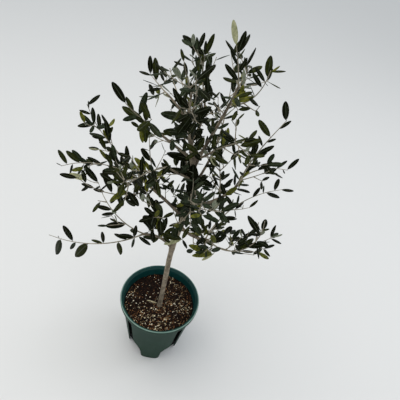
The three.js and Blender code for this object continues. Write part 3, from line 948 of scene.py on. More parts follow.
@dataclass(frozen=True)
class ShownLeaf:
    """A leaf that stands out in the photo: the photo pixel of its tip, and where on its stem it grows.

    The tip is so many millimetres nearer to the viewer than the root. A turned leaf shows its underside.
    """

    x: float
    y: float
    at: float = 0
    tint: Tint = Tint.DEEP
    breadth: float = 1
    nearer: float = 0
    turned: bool = False


@dataclass(frozen=True)
class ShownSpray:
    """The leaves that stand out on a limb or mass, and the twig that bears them where they have one."""

    on: str
    leaves: tuple[ShownLeaf, ...]
    twig_at: float = 0
    twig_end: tuple[float, float, float] | None = None


def shown(on: str, *rows: tuple, **twig: object) -> ShownSpray:
    """A shown spray from one row of figures for each leaf, in the order of the leaf's own fields."""
    return ShownSpray(on, tuple(ShownLeaf(*row) for row in rows), **twig)


# Short names of the tints, for rows of figures.
DEEP, OLIVE, GREY, YOUNG = Tint
SHOWN_SPRAYS = (
    shown(
        "low_left",
        (151, 246, 0.05), (136, 226, 0.1), (114, 234, 0.17, DEEP, 1.1), (120, 256, 0.27, OLIVE),
        (102, 232, 0.43), (91, 240, 0.43, OLIVE), (73, 258, 0.59, OLIVE), (69, 250, 0.72, GREY),
        (63, 226, 0.75), (54, 256, 0.88, GREY), (58, 236, 0.9),
    ),
    shown(
        "trunk",
        (163, 236, 0, OLIVE, 1, 14), (166, 234, 0, OLIVE, 1, 16), (164, 244, 0, YOUNG, 1, 8, True),
        (187, 249, 0, DEEP, 1, 7), twig_at=0.31, twig_end=(22, -17, 406),
    ),
    shown(
        "lower_right",
        (190, 246, 0, YOUNG, 1, 12), (192, 256, 0, YOUNG, 1, 10), (202, 260, 0, YOUNG, 1, 6, True),
        twig_at=0.15, twig_end=(80, -78, 456),
    ),
    shown(
        "right_top_up",
        (226, 64, 0.14, DEEP, 1.2), (247, 58, 0.34), (231, 50, 0.5, DEEP, 0.8),
        (226, 40, 0.72, DEEP, 0.6), (246, 31, 0.8), (233, 19, 1, YOUNG, 1, 0, True),
    ),
    shown(
        "right_top_side",
        (243, 86, 0.22, YOUNG, 1.2), (253, 73, 0.73), (256, 67, 0.83), (271, 56, 0.9, OLIVE, 1.3),
        (280, 66, 0.97, YOUNG, 0.7), (286, 71, 1, OLIVE, 0.7),
    ),
    shown(
        "right_upper",
        (254, 144, 0.39), (274, 146, 0.45), (259, 136, 0.57), (276, 139, 0.64),
        (259, 120, 0.72, OLIVE, 1.2), (291, 121, 0.86), (286, 102, 1, DEEP, 1.2),
    ),
    shown(
        "right_side",
        (272, 162, 0.61), (273, 174, 0.73, GREY, 0.8), (287, 161, 0.84), (285, 174, 0.94, DEEP, 0.8),
        (299, 159, 1),
    ),
    shown(
        "right_mid",
        (239, 196, 0.5, GREY, 0.8), (260, 188, 0.69), (264, 186, 0.81, GREY, 0.8), (280, 198, 0.84),
        (279, 179, 0.93, DEEP, 1.2), (294, 191, 1),
    ),
    shown(
        "left_far",
        (87, 157, 0.57), (84, 166, 0.68), (66, 151, 0.8, OLIVE, 1.3), (69, 174, 0.88, DEEP, 0.7),
        (58, 150, 0.94, OLIVE, 1.1), (56, 163, 1, GREY, 0.6),
    ),
    shown(
        "low_left_up",
        (104, 226, 0.3, DEEP, 1.2), (101, 215, 0.52, DEEP, 0.9), (96, 206, 0.58, DEEP, 1.2),
        (84, 166, 1),
    ),
    shown("low_left_up", (69, 174, 0, YOUNG, 1.3, 0, True), twig_at=1, twig_end=(-160, -16, 498)),
    shown(
        "left_low",
        (117, 190, 0.3), (110, 204, 0.48), (103, 171, 0.54), (93, 189, 0.63), (81, 191, 0.83),
    ),
    shown("front_left", (141, 160, 0.54), (111, 171, 0.84, OLIVE, 1.2)),
    shown("left_rise", (144, 161, 0.31, YOUNG), (141, 149, 0.52, DEEP, 1.2)),
    shown("front_right", (230, 141, 0.64, DEEP, 0.8), (223, 136, 0.66)),
    shown("right_inner", (204, 166, 0.6), (221, 146, 0.69, DEEP, 1.1)),
    shown("back_right", (221, 93, 0.49)),
    shown(
        "left_main",
        (126, 147, 0.29), (105, 120, 0.56), (103, 130, 0.58, YOUNG), (89, 133, 0.62, GREY, 0.9),
        (77, 126, 0.8), (79, 110, 0.9), (88, 101, 0.96, GREY, 0.6), (99, 95, 1),
    ),
    shown(
        "upper_left",
        (145, 104, 0.1, DEEP, 1.2), (122, 120, 0.42, GREY, 1.1), (146, 93, 0.42, GREY),
        (126, 97, 0.63, OLIVE), (112, 82, 1, DEEP, 1.2),
    ),
    shown("mid_left", (147, 90, 0.3), (155, 58, 0.65, OLIVE, 1.1), (139, 71, 0.95), (150, 56, 1)),
    shown("mid_spire", (209, 65, 0.26), (183, 35, 1), (206, 41, 1), (214, 34, 1, OLIVE, 0.8)),
    shown("left_spire", (174, 61, 0.87), (181, 49, 1, OLIVE)),
    shown("lower_right", (249, 217, 0.82), (266, 220, 0.88, DEEP, 1.4)),
    shown(
        "trunk",
        (193, 168, 0.52, DEEP, 1.2, 14), (213, 186, 0.62, DEEP, 1.2, 8),
        (166, 169, 0.63, DEEP, 1.1, 10), (167, 153, 0.68, DEEP, 1.1, 10),
        (163, 131, 0.79, GREY, 1.2, 10), (161, 113, 0.88, GREY, 1.3, 10),
    ),
    shown("left_inner", (142, 237, 0.02, GREY, 1.1), (149, 231, 0.75, DEEP, 1.4)),
)


@dataclass(frozen=True)
class GrowthRule:
    """The growth rule, shared by all masses.

    Angles are in degrees, lengths in millimetres or shares of the whole, and each spread is a full range. A
    shoot's order is 0 for a stem or limb, 1 for its side shoots and 2 for the twiglets on those. A leaf is
    tested for space at shares of its length, each with its share of the half width there.
    """

    stem_steps: int = 7
    bough_steps: int = 7
    shoot_steps: int = 4
    first_pair: tuple[float, float, float] = (0.6, 0.55, 0.5)
    order_spacing: tuple[float, float, float] = (1.0, 0.85, 0.6)
    order_size: tuple[float, float, float] = (1.0, 1.0, 0.72)
    twiglet_share: float = 0.2
    twiglet_length: float = 0.42
    spacing_spread: float = 0.3
    pair_turn: float = 90
    pair_turn_spread: float = 30
    leaf_turn_spread: float = 24
    bare_share: float = 0.12
    bare_tip: float = 3
    last_shoot: float = 0.88
    shoot_angle: float = 48
    shoot_upturn: float = 14
    shoot_sway: float = 20
    shoot_length_drop: float = 0.5
    full_length_at: float = 0.2
    shoot_length_spread: float = 0.6
    shoot_radius: float = 1.35
    clear_of_limb: float = 1
    space_margin: float = -1.5
    leaf_angle: float = 50
    leaf_angle_spread: float = 24
    size_drop: float = 0.3
    full_size_at: float = 0.25
    size_spread: float = 0.4
    leaf_width: float = 0.32
    leaf_seat: float = 0.8
    face_along: float = 0.6
    face_up: float = 0.8
    face_front: float = 0.28
    face_spread: float = 0.7
    tip_at: float = 0.985
    crowding: float = 11
    leaf_clear_of_limb: float = 0.4
    tested: tuple[float, ...] = (0.35, 0.65, 1)
    tested_width: tuple[float, ...] = (0.75, 0.8, 0.1)
    limb_leaf_share: float = 0.5
    open_share: float = 1.0
    open_shoot_share: float = 0.8
    spur_leaf: float = 30
    spur_spacing: float = 24
    spur_length: float = 30
    spur_share: float = 0.5
    spur_from: float = 0.3
    trunk_spur_from: float = 0.4
    shown_sag: float = 0.4
    shown_rise: float = 42
    shown_breadth: float = 0.86
    seed_shoot: int = 7
    tries: int = 4
    seed_range: float = 1e6
    tint_seed: int = 900
    main_tints: tuple[Tint, ...] = (DEEP, OLIVE, DEEP, GREY)
    other_tints: tuple[Tint, ...] = (DEEP, OLIVE, GREY)
    main_tint_upto: float = 0.6


@dataclass
class Leaf:
    """One leaf: its root, the way it points and faces, its length, and its spray's tint."""

    root: Vec
    direction: Vec
    facing: Vec
    length: float
    tint: Tint = Tint.DEEP
    breadth: float = 1.0

    def centre(self) -> Vec:
        """The middle of the blade."""
        return self.root + self.direction * (self.length / 2)


@dataclass
class Shoot:
    """One twig: its middle line, its length, its radius at root and tip, and its order."""

    path: Vec
    length: float
    root: float
    tip: float
    order: int = 0

    def cut(self, share: float) -> None:
        """Cuts off what lies beyond a share of the twig.

        Args:
            share: The share that stays.
        """
        self.path = np.array([point_at(self.path, share * t)[0] for t in np.linspace(0, 1, len(self.path))])
        self.length *= share
        self.tip = self.root + (self.tip - self.root) * share


@dataclass
class Spray:
    """All that grows from one stem or limb, and how it is dressed."""

    seed: int = 0
    dress: Dress = Dress()
    own: int | None = None
    leaf: float = 0
    spacing: float = 0
    shoot: float = 0
    shoot_share: float = 0
    shoots: list[Shoot] = field(default_factory=list)
    leaves: list[Leaf] = field(default_factory=list)
    centres: list[Vec] = field(default_factory=list)


@dataclass
class Limb:
    """A limb in place: its name, middle line, length and its radius at each point of the line."""

    name: str
    path: Vec
    length: float
    radii: Vec


def nearest_shares(points: Vec, starts: Vec, runs: Vec) -> tuple[Vec, Vec]:
    """How far each point is from each straight run, and where along the run the nearest place is.

    Args:
        points: Rows of points.
        starts: The start of each run.
        runs: The vector of each run.

    Returns:
        Distances and shares from 0 to 1, one row for each point and one column for each run.
    """
    offsets = points[:, None] - starts[None]
    shares = np.clip((offsets * runs).sum(axis=2) / (runs**2).sum(axis=1), 0, 1)
    return np.linalg.norm(offsets - runs * shares[..., None], axis=2), shares


def straight_runs(paths: Sequence[Vec]) -> tuple[Vec, Vec]:
    """The straight runs between the points of some paths.

    Args:
        paths: The paths.

    Returns:
        The start and the vector of each run.
    """
    starts = np.concatenate([path[:-1] for path in paths])
    return starts, np.concatenate([np.diff(path, axis=0) for path in paths])


@dataclass
class Skeleton:
    """The trunk, the boughs and the stems of the masses, and the rule by which twigs and leaves grow."""

    rule: GrowthRule = field(default_factory=GrowthRule)
    trunk: TrunkForm = field(default_factory=TrunkForm)
    twig_radii: tuple[float, float, float] = (1.35, 0.9, 0.6)
    tip_radius: float = 0.45

    def __post_init__(self) -> None:
        """Places every limb and stem."""
        path = smooth_path(np.array(self.trunk.stations, float), self.trunk.steps)
        length = float(np.linalg.norm(np.diff(path, axis=0), axis=1).sum())
        self.limbs = [Limb("trunk", path, length, self.trunk.radii(path))]
        for row in BOUGHS:
            line = row.course.path(point_at(path, row.at)[0], self.rule.bough_steps)
            radii = np.linspace(row.root, row.tip, len(line))
            self.limbs.append(Limb(row.name, line, row.course.length, radii))
        lines = {limb.name: limb.path for limb in self.limbs}
        roots = [point_at(lines[row.on], row.at)[0] for row in MASSES]
        stems = [row.course.path(root, self.rule.stem_steps) for row, root in zip(MASSES, roots)]
        self.stems = stems
        self.stem_starts, self.stem_runs = straight_runs(stems)
        self.limb_starts, self.limb_runs = straight_runs([limb.path for limb in self.limbs])
        self.limb_radii = np.concatenate([limb.radii[:-1] for limb in self.limbs])
        self.limb_tapers = np.concatenate([np.diff(limb.radii) for limb in self.limbs])

    def fits(self, points: Vec, half_widths: Vec, own: int | None, clearance: float) -> bool:
        """Whether round things of these half widths are clear of the limbs and in their mass's own space.

        Args:
            points: Rows of points.
            half_widths: The half width at each point.
            own: The mass's number, or None for growth on a limb.
            clearance: The least gap to a limb.

        Returns:
            Whether all of them fit.
        """
        distances, shares = nearest_shares(points, self.limb_starts, self.limb_runs)
        gaps = (distances - self.limb_radii - self.limb_tapers * shares).min(axis=1)
        if (gaps <= half_widths + clearance).any():
            return False
        if own is None:
            return True
        distances = nearest_shares(points, self.stem_starts, self.stem_runs)[0]
        distances = distances.reshape(len(points), len(self.stems), -1).min(axis=2)
        others = np.delete(distances, own, axis=1).min(axis=1)
        return bool(((others - distances[:, own]) / 2 > half_widths + self.rule.space_margin).all())

    def leaf_at(
        self, point: Vec, along: Vec, roll: float, length: float, stream: Stream, surface: float
    ) -> Leaf:
        """A leaf at a place on a shoot: it leans out from it and turns its face up.

        Args:
            point: The place on the shoot's middle line.
            along: The shoot's direction there.
            roll: The side that the leaf is on, in degrees.
            length: The leaf's length.
            stream: Gives its chances.
            surface: The shoot's radius there.

        Returns:
            The leaf.
        """
        rule = self.rule
        direction = leaning(along, roll, rule.leaf_angle + stream.spread(rule.leaf_angle_spread))
        facing = along * rule.face_along + np.array([0, -rule.face_front, rule.face_up])
        facing[0] += stream.spread(rule.face_spread)
        facing[1] += stream.spread(rule.face_spread)
        facing = facing - direction * facing.dot(direction)
        root = point + leaning(along, roll, 90) * surface * rule.leaf_seat
        return Leaf(root, direction, unit(facing), length)

    def keep_leaf(self, leaf: Leaf, spray: Spray) -> bool:
        """Adds a leaf to the spray where it fits and isn't crowded.

        Args:
            leaf: The leaf.
            spray: Takes it.

        Returns:
            Whether it was added.
        """
        rule = self.rule
        centre = leaf.centre()
        if spray.centres and np.linalg.norm(np.array(spray.centres) - centre, axis=1).min() < rule.crowding:
            return False
        points = leaf.root + np.outer(np.array(rule.tested) * leaf.length, leaf.direction)
        if in_opening(points, rule.open_share):
            return False
        half_widths = np.array(rule.tested_width) * leaf.length * rule.leaf_width / 2
        if spray.own is None:
            points, half_widths = points[1:], half_widths[1:] * rule.limb_leaf_share
        if not self.fits(points, half_widths, spray.own, rule.leaf_clear_of_limb):
            return False
        spray.leaves.append(leaf)
        spray.centres.append(centre)
        return True

    def grow_shoot(
        self, shoot: Shoot, seed: int, spray: Spray, start: float, radii: Vec | None = None
    ) -> None:
        """Grows leaves in opposite pairs along a shoot, with side shoots in place of some of them.

        Args:
            shoot: The shoot.
            seed: Seeds this shoot's own stream.
            spray: Takes what grows.
            start: How far along the shoot the first pair is.
            radii: A limb's radii, where the shoot is a limb.
        """
        rule = self.rule
        stream = Stream(seed)
        spacing = spray.spacing * spray.dress.spacing * rule.order_spacing[shoot.order]
        share_of_shoots = spray.shoot_share if shoot.order == 0 else rule.twiglet_share
        roll = 360 * stream.draw()
        along = start + spacing * rule.first_pair[shoot.order]
        full_size = spray.leaf * spray.dress.size * rule.order_size[shoot.order]
        leafy_to = 0.0
        upto = spray.dress.upto if shoot.order == 0 else 1.0
        while along < shoot.length * upto:
            share = min(1, along / shoot.length)
            point, direction = point_at(shoot.path, share)
            surface = shoot.root + (shoot.tip - shoot.root) * share
            if radii is not None:
                surface = float(np.interp(share, np.linspace(0, 1, len(radii)), radii))
            roll += rule.pair_turn + stream.spread(rule.pair_turn_spread)
            for turn in (0, 180):
                side = roll + turn + stream.spread(rule.leaf_turn_spread)
                bears = stream.draw() < share_of_shoots
                kept = stream.draw() > rule.bare_share
                size = full_size * (1 - rule.size_drop * (share - rule.full_size_at))
                size *= 1 + stream.spread(rule.size_spread)
                child_seed = math.floor(stream.draw() * rule.seed_range)
                branched = (
                    shoot.order < 2
                    and bears
                    and share < rule.last_shoot
                    and self.grow_side(point, direction, side, shoot.order + 1, share, child_seed, spray)
                )
                if kept and not branched:
                    leaf = self.leaf_at(point, direction, side, size, Stream(child_seed), surface)
                    branched = self.keep_leaf(leaf, spray)
                if branched:
                    leafy_to = share
            along += spacing * (1 + stream.spread(rule.spacing_spread))
        if radii is not None or upto < 1:
            return
        point, direction = point_at(shoot.path, rule.tip_at)
        for turn in (0, 180):
            size = full_size * (1 - rule.size_drop * stream.draw())
            leaf = self.leaf_at(point, direction, roll + rule.pair_turn + turn, size, stream, shoot.tip)
            if self.keep_leaf(leaf, spray):
                leafy_to = 1.0
        shoot.cut(min(1.0, leafy_to + rule.bare_tip / shoot.length))

    def grow_side(
        self, point: Vec, along: Vec, roll: float, order: int, share: float, seed: int, spray: Spray
    ) -> bool:
        """Grows one side shoot, kept only where all of it fits and it bears leaves.

        Args:
            point: Where it leaves its parent.
            along: The parent's direction there.
            roll: The side it leaves on, in degrees.
            order: Its order.
            share: How far along its parent it starts.
            seed: Seeds it.
            spray: Takes what grows.

        Returns:
            Whether it was kept.
        """
        rule = self.rule
        stream = Stream(seed)
        start = leaning(along, roll, rule.shoot_angle)
        full = spray.shoot * (1 - rule.shoot_length_drop * (share - rule.full_length_at))
        length = full * (1 + stream.spread(rule.shoot_length_spread))
        length *= rule.twiglet_length if order == 2 else 1
        sway = stream.spread(rule.shoot_sway)
        azimuth, rise = math.degrees(math.atan2(start[1], start[0])), math.degrees(math.asin(start[2]))
        path = Course(azimuth, rise, length, sway, rule.shoot_upturn).path(point, rule.shoot_steps)
        later = path[2:]
        fits = self.fits(later, np.full(len(later), rule.shoot_radius), spray.own, rule.clear_of_limb)
        if not fits or in_opening(later[-1:], rule.open_shoot_share):
            return False
        leaves, shoots = len(spray.leaves), len(spray.shoots)
        shoot = Shoot(path, length, self.twig_radii[order], self.tip_radius, order)
        spray.shoots.append(shoot)
        self.grow_shoot(shoot, seed + rule.seed_shoot, spray, 0)
        if len(spray.leaves) == leaves:
            del spray.shoots[shoots:]
            return False
        return True

    def grow_mass(self, own: int, seed: int) -> Spray:
        """Grows one mass.

        Args:
            own: The mass's number.
            seed: Seeds it.

        Returns:
            Its twigs and leaves.
        """
        row = MASSES[own]
        dress = DRESSES.get(row.name, Dress())
        spray = Spray(seed, dress, own, row.leaf, row.spacing, row.shoot, row.shoot_share)
        stem = Shoot(self.stems[own], row.course.length, self.twig_radii[0], self.tip_radius)
        spray.shoots.append(stem)
        self.grow_shoot(stem, seed, spray, 0)
        return spray

    def grow_spurs(self, number: int, seed: int) -> Spray:
        """Grows the short leafy spurs that a limb bears between its masses.

        Args:
            number: The limb's number.
            seed: Seeds them.

        Returns:
            Their twigs and leaves.
        """
        rule = self.rule
        limb = self.limbs[number]
        dress = TRUNK_SPUR if limb.name == "trunk" else SPUR
        spray = Spray(seed, dress, None, rule.spur_leaf, rule.spur_spacing, rule.spur_length, rule.spur_share)
        start = rule.trunk_spur_from if limb.name == "trunk" else rule.spur_from
        whole = Shoot(limb.path, limb.length, limb.radii[0], limb.radii[-1])
        self.grow_shoot(whole, seed, spray, start * limb.length, limb.radii)
        return spray

    def fullest(self, grow: Callable[[int, int], Spray], number: int, first_seed: int) -> Spray:
        """Grows a mass or a limb's spurs a few times, and keeps the growth with the most leaves.

        Args:
            grow: Grows it from its number and a seed.
            number: The number of the mass or limb.
            first_seed: The first seed that is tried. The others follow it.

        Returns:
            The fullest growth, with its tints dealt.
        """
        seeds = range(first_seed, first_seed + self.rule.tries)
        spray = max((grow(number, seed) for seed in seeds), key=lambda grown: len(grown.leaves))
        self.deal_tints(spray)
        return spray

    def deal_tints(self, spray: Spray) -> None:
        """Deals a tint to each leaf: the spray's own tint for most, another or the young one by chance.

        Args:
            spray: The spray whose leaves take their tints.
        """
        rule = self.rule
        stream = Stream(rule.tint_seed + spray.seed)
        main = rule.main_tints[math.floor(len(rule.main_tints) * stream.draw())]
        for leaf in spray.leaves:
            chance = stream.draw()
            if chance < spray.dress.young:
                leaf.tint = Tint.YOUNG
            elif chance < rule.main_tint_upto:
                leaf.tint = main
            else:
                leaf.tint = rule.other_tints[math.floor(len(rule.other_tints) * stream.draw())]

    def grow_shown(self, row: ShownSpray, parent: Vec) -> Spray:
        """Grows a spray whose leaves stand out in the photo.

        Args:
            row: The spray's places.
            parent: The middle line of the limb or stem that bears it.

        Returns:
            Its twig and leaves.
        """
        rule = self.rule
        spray = Spray()
        end = None
        if row.twig_end is not None:
            start, end = point_at(parent, row.twig_at)[0], np.array(row.twig_end, float)
            reach = float(np.linalg.norm(end - start))
            share = np.linspace(0, 1, rule.shoot_steps + 1)
            path = start + np.outer(share, end - start)
            path[:, 2] -= rule.shown_sag * reach * share * (1 - share)
            spray.shoots.append(Shoot(path, reach, self.twig_radii[2], self.tip_radius, 2))
        for leaf in row.leaves:
            root = point_at(parent, leaf.at)[0] if end is None else end
            run = VIEW.place(leaf.x, leaf.y, root[1] - leaf.nearer) - root
            length = float(np.linalg.norm(run))
            direction = run / length
            front = heading(-90, rule.shown_rise)
            facing = unit(front - direction * front.dot(direction))
            facing = -facing if leaf.turned else facing
            breadth = leaf.breadth * rule.shown_breadth
            spray.leaves.append(Leaf(root, direction, facing, length, leaf.tint, breadth))
        return spray

    def shown_on(self, limb: Limb, carried: Sequence[int]) -> list[Spray]:
        """Grows the shown sprays of a limb and of the masses that it carries.

        Args:
            limb: The limb.
            carried: The numbers of its masses.

        Returns:
            Their twigs and leaves.
        """
        parents = {MASSES[own].name: self.stems[own] for own in carried}
        if limb.name == "trunk":
            parents["trunk"] = limb.path
        return [self.grow_shown(row, parents[row.on]) for row in SHOWN_SPRAYS if row.on in parents]


# The plant's pieces


@dataclass
class Blade:
    """An olive leaf's blade: a narrow ellipse on a short stalk, its edges rolled down and its rib sunk."""

    width_share: float = 0.305
    breadth_spread: float = 0.26
    stalk: float = 0.07
    stalk_breadth: float = 0.07
    tip_breadth: float = 0.02
    fullness: float = 0.58
    stations: int = 8
    across: tuple[float, ...] = (-1.0, -0.55, -0.07, 0.07, 0.55, 1.0)
    rib_strip: int = 2
    roll_down: float = 0.288
    groove: float = 0.05
    thickness: float = 0.4
    tip_thickness: float = 0.1
    rib: float = 0.35
    droop: float = 0.1
    least_droop: float = 0.2
    droop_spread: float = 1.6
    first_rise: float = 0.35
    twist: float = 34

    def outline(self) -> tuple[Vec, Vec]:
        """The leaf's outline: a stalk, and a blade that is an ellipse made fuller or slimmer at its ends.

        Returns:
            Places along the leaf and its half breadth there, both as shares of the whole.
        """
        along = (1 - np.cos(np.linspace(0, math.pi, self.stations + 1))) / 2
        breadths = (4 * along * (1 - along)) ** self.fullness
        breadths[0], breadths[-1] = self.stalk_breadth, self.tip_breadth
        places = self.stalk + (1 - self.stalk) * along
        return np.insert(places, 0, 0), np.insert(breadths, 0, self.stalk_breadth)

    def surfaces(self, leaf: Leaf, stream: Stream) -> tuple[Vec, Vec, Vec]:
        """Builds one leaf's closed blade.

        Args:
            leaf: The leaf.
            stream: Gives its own bend and twist.

        Returns:
            Its points, its quads and each quad's slot.
        """
        u, outline = self.outline()
        v = np.array(self.across)
        rows, columns = len(u), len(v)
        rib_sides = slice(self.rib_strip, self.rib_strip + 2)
        breadth = leaf.breadth * (1 + stream.spread(self.breadth_spread))
        half = outline * leaf.length * self.width_share * breadth / 2
        droop = self.droop * (self.least_droop + self.droop_spread * stream.draw())
        twist = np.radians(stream.spread(2 * self.twist)) * u
        beside = np.cross(leaf.direction, leaf.facing)
        middle = leaf.root + np.outer(u * leaf.length, leaf.direction)
        middle = middle + np.outer(-droop * leaf.length * (u**2 - self.first_rise * u), leaf.facing)
        side = np.outer(np.cos(twist), beside) + np.outer(np.sin(twist), leaf.facing)
        up = np.outer(np.cos(twist), leaf.facing) - np.outer(np.sin(twist), beside)
        height = -self.roll_down * half[:, None] * v[None, :] ** 2
        height[:, rib_sides] -= self.groove * half[:, None]
        spread = side[:, None] * (half[:, None] * v)[..., None]
        top = middle[:, None] + spread + up[:, None] * height[..., None]
        depth = np.full((rows, columns), self.thickness)
        depth[:, rib_sides] += self.rib
        depth[:2] = np.maximum(depth[:2], 2 * half[:2, None])
        depth[-1] = self.tip_thickness
        under = top - up[:, None] * depth[..., None]
        under[:, 0], under[:, -1] = top[:, 0], top[:, -1]
        points = np.concatenate([top.reshape(-1, 3), under.reshape(-1, 3)])
        quads = grid_faces(rows, columns, False)[:, ::-1]
        strip = np.tile(np.arange(columns - 1), rows - 1)
        rib_slot = len(Tint)
        felt_slot = rib_slot + (2 if leaf.tint is Tint.YOUNG else 1)
        upper_slots = np.where(strip == self.rib_strip, rib_slot, leaf.tint.value)
        slots = np.concatenate([upper_slots, np.full(len(quads), felt_slot)])
        return points, np.concatenate([quads, quads + rows * columns]), slots


@dataclass
class Crown:
    """The twigs and leaves, joined by the limb that carries them."""

    skeleton: Skeleton
    blade: Blade = field(default_factory=Blade)
    twig_sides: int = 7
    twig_step: float = 3.0
    least_steps: int = 6
    swelling: float = 0.5
    swelling_length: float = 3
    bud_places: tuple[float, float] = (1.2, 2.4)
    bud_swelling: float = 1.25
    bud_tip: float = 0.1
    mass_seed: int = 100
    spur_seed: int = 170
    leaf_seed: int = 7000

    def build(self) -> None:
        """Grows every mass and builds its limb's twigs and leaves."""
        leaf_materials = [BLADES[tint].material() for tint in Tint]
        leaf_materials += [RIB.material(), FELT.material(), YOUNG_FELT.material()]
        rind = RIND.material()
        total = 0
        grown = self.skeleton
        for number, limb in enumerate(grown.limbs):
            leaves, twigs = MeshParts(), MeshParts()
            carried = [own for own, row in enumerate(MASSES) if row.on == limb.name]
            sprays = [grown.fullest(grown.grow_mass, own, self.mass_seed * (own + 1)) for own in carried]
            sprays.append(grown.fullest(grown.grow_spurs, number, self.spur_seed * (number + 1)))
            sprays += grown.shown_on(limb, carried)
            for spray in sprays:
                self.add_leaves(spray, leaves)
                self.add_twigs(spray, twigs)
                total += len(spray.leaves)
            nodes = [f"foliage_{MASSES[own].name}" for own in carried]
            settle(leaves.build(f"leaves_{limb.name}", leaf_materials), "leaves", *nodes)
            settle(twigs.build(f"twigs_{limb.name}", [rind]), "bark", *nodes)
        LOG.info("%d leaves in all", total)

    def add_leaves(self, spray: Spray, parts: MeshParts) -> None:
        """Adds a spray's leaves to a joined mesh.

        Args:
            spray: The spray.
            parts: Takes the leaves.
        """
        stream = Stream(self.leaf_seed + spray.seed)
        for leaf in spray.leaves:
            parts.add(*self.blade.surfaces(leaf, stream))

    def add_twigs(self, spray: Spray, parts: MeshParts) -> None:
        """Adds a spray's twigs to a joined mesh, each with a bud at its tip.

        Args:
            spray: The spray.
            parts: Takes the twigs.
        """
        for shoot in spray.shoots:
            steps = max(self.least_steps, round(shoot.length / self.twig_step))
            path = smooth_path(shoot.path, steps)
            share = np.linspace(0, 1, steps + 1)
            radii = shoot.root + (shoot.tip - shoot.root) * share
            radii += self.swelling * np.exp(-share * shoot.length / self.swelling_length)
            bud = path[-1] + np.outer(self.bud_places, unit(path[-1] - path[-2]))
            bud_radii = [shoot.tip * self.bud_swelling, self.bud_tip]
            parts.add(*tube(np.vstack([path, bud]), np.concatenate([radii, bud_radii]), self.twig_sides))


@dataclass
class Wood:
    """The trunk and boughs, with the bark's relief. Near the soil the bark is slim, as in the photo.

    Waves are counted per millimetre, across, deep and up.
    """

    skeleton: Skeleton
    trunk_steps: int = 330
    trunk_sides: int = 44
    slim_root: float = 0.72
    slim_to: float = 0.45
    knuckle: float = 0.22
    knuckle_length: float = 6
    sunk: float = 3
    sunk_swelling: float = 1.03
    bough_step: float = 2.2
    bough_sides: int = 18
    collar: float = 1.3
    collar_length: float = 6
    lump: float = 0.35
    lump_waves: tuple[float, float, float] = (0.11, 0.11, 0.03)
    furrow: float = 0.28
    furrow_waves: tuple[float, float, float] = (0.7, 0.7, 0.09)
    furrow_shift: tuple[float, float, float] = (9, 4, 2)
    scar_seed: int = 41
    scar_count: int = 26
    scars_upto: float = 0.75
    scar_height: float = 0.8
    scar_radius: float = 3.2
    scar_hollow: float = 0.9
    scar_hollow_slope: float = 6
    bough_lumps: tuple[tuple[float, float], ...] = ((0.16, 0.5), (0.1, 1.1))

    def build(self) -> None:
        """Builds the trunk and the joined boughs."""
        self.build_trunk()
        self.build_boughs()

    def build_trunk(self) -> None:
        """Builds the trunk, a little swollen where each bough leaves it."""
        form, line = self.skeleton.trunk, self.skeleton.limbs[0].path
        path = smooth_path(np.array(form.stations, float), self.trunk_steps)
        radii = form.radii(path)
        radii *= np.interp(np.linspace(0, 1, len(path)), (0, self.slim_to), (self.slim_root, 1))
        for row in BOUGHS:
            gap = np.linalg.norm(path - point_at(line, row.at)[0], axis=1)
            radii += self.knuckle * row.root * np.exp(-((gap / self.knuckle_length) ** 2))
        scars = self.scar_places(path, radii)
        path = np.vstack([path[0] - [0, 0, self.sunk], path])
        radii = np.concatenate([[radii[0] * self.sunk_swelling], radii])
        parts = MeshParts()
        parts.add(*tube(path, radii, self.trunk_sides, lambda point: self.relief(point, scars)))
        settle(parts.build("bark_trunk", [BARK.material()]), "bark", "trunk")

    def build_boughs(self) -> None:
        """Builds the boughs as one joined mesh, each with a collar at its root."""
        parts = MeshParts()
        for limb, row in zip(self.skeleton.limbs[1:], BOUGHS):
            steps = round(row.course.length / self.bough_step)
            share = np.linspace(0, 1, steps + 1)
            radii = row.root + (row.tip - row.root) * share
            radii += self.collar * np.exp(-share * row.course.length / self.collar_length)
            parts.add(*tube(smooth_path(limb.path, steps), radii, self.bough_sides, self.fine_relief))
        names = [f"bough_{row.name}" for row in BOUGHS]
        # The boughs take the darker bark, painted shade of the crown.
        settle(parts.build("bark_boughs", [BOUGH_BARK_PAINTED_SHADE.material()]), "bark", *names)

    def scar_places(self, path: Vec, radii: Vec) -> Vec:
        """Deals healed scars over the trunk's skin, where low shoots were cut away.

        Args:
            path: The trunk's middle line.
            radii: Its radius at each point.

        Returns:
            Rows of places.
        """
        stream = Stream(self.scar_seed)
        places = []
        for _ in range(self.scar_count):
            i = math.floor(stream.draw() * self.scars_upto * len(path))
            turn = 2 * math.pi * stream.draw()
            places.append(path[i] + radii[i] * np.array([math.cos(turn), math.sin(turn), 0]))
        return np.array(places)

    def relief(self, point: Vec, scars: Vec) -> float:
        """How far the trunk's skin stands out: lumps, long furrows and hollow scars.

        Args:
            point: A point of the skin.
            scars: The places of the scars.

        Returns:
            The height, in millimetres.
        """
        lumps = noise.noise(Vector(point * self.lump_waves))
        furrows = noise.noise(Vector(point * self.furrow_waves) + Vector(self.furrow_shift))
        gap = np.linalg.norm(scars - point, axis=1).min() / self.scar_radius
        scar = math.exp(-gap * gap) - self.scar_hollow * math.exp(-self.scar_hollow_slope * gap * gap)
        return self.lump * lumps + self.furrow * furrows + self.scar_height * scar

    def fine_relief(self, point: Vec) -> float:
        """How far a bough's skin stands out at a point, in millimetres."""
        return sum(height * noise.noise(Vector(point * waves)) for height, waves in self.bough_lumps)


class Zone(IntEnum):
    """What a point of the pot's outline belongs to."""

    PANEL = 0
    EDGE = 1
    CHANNEL = 2
    SLIT = 3


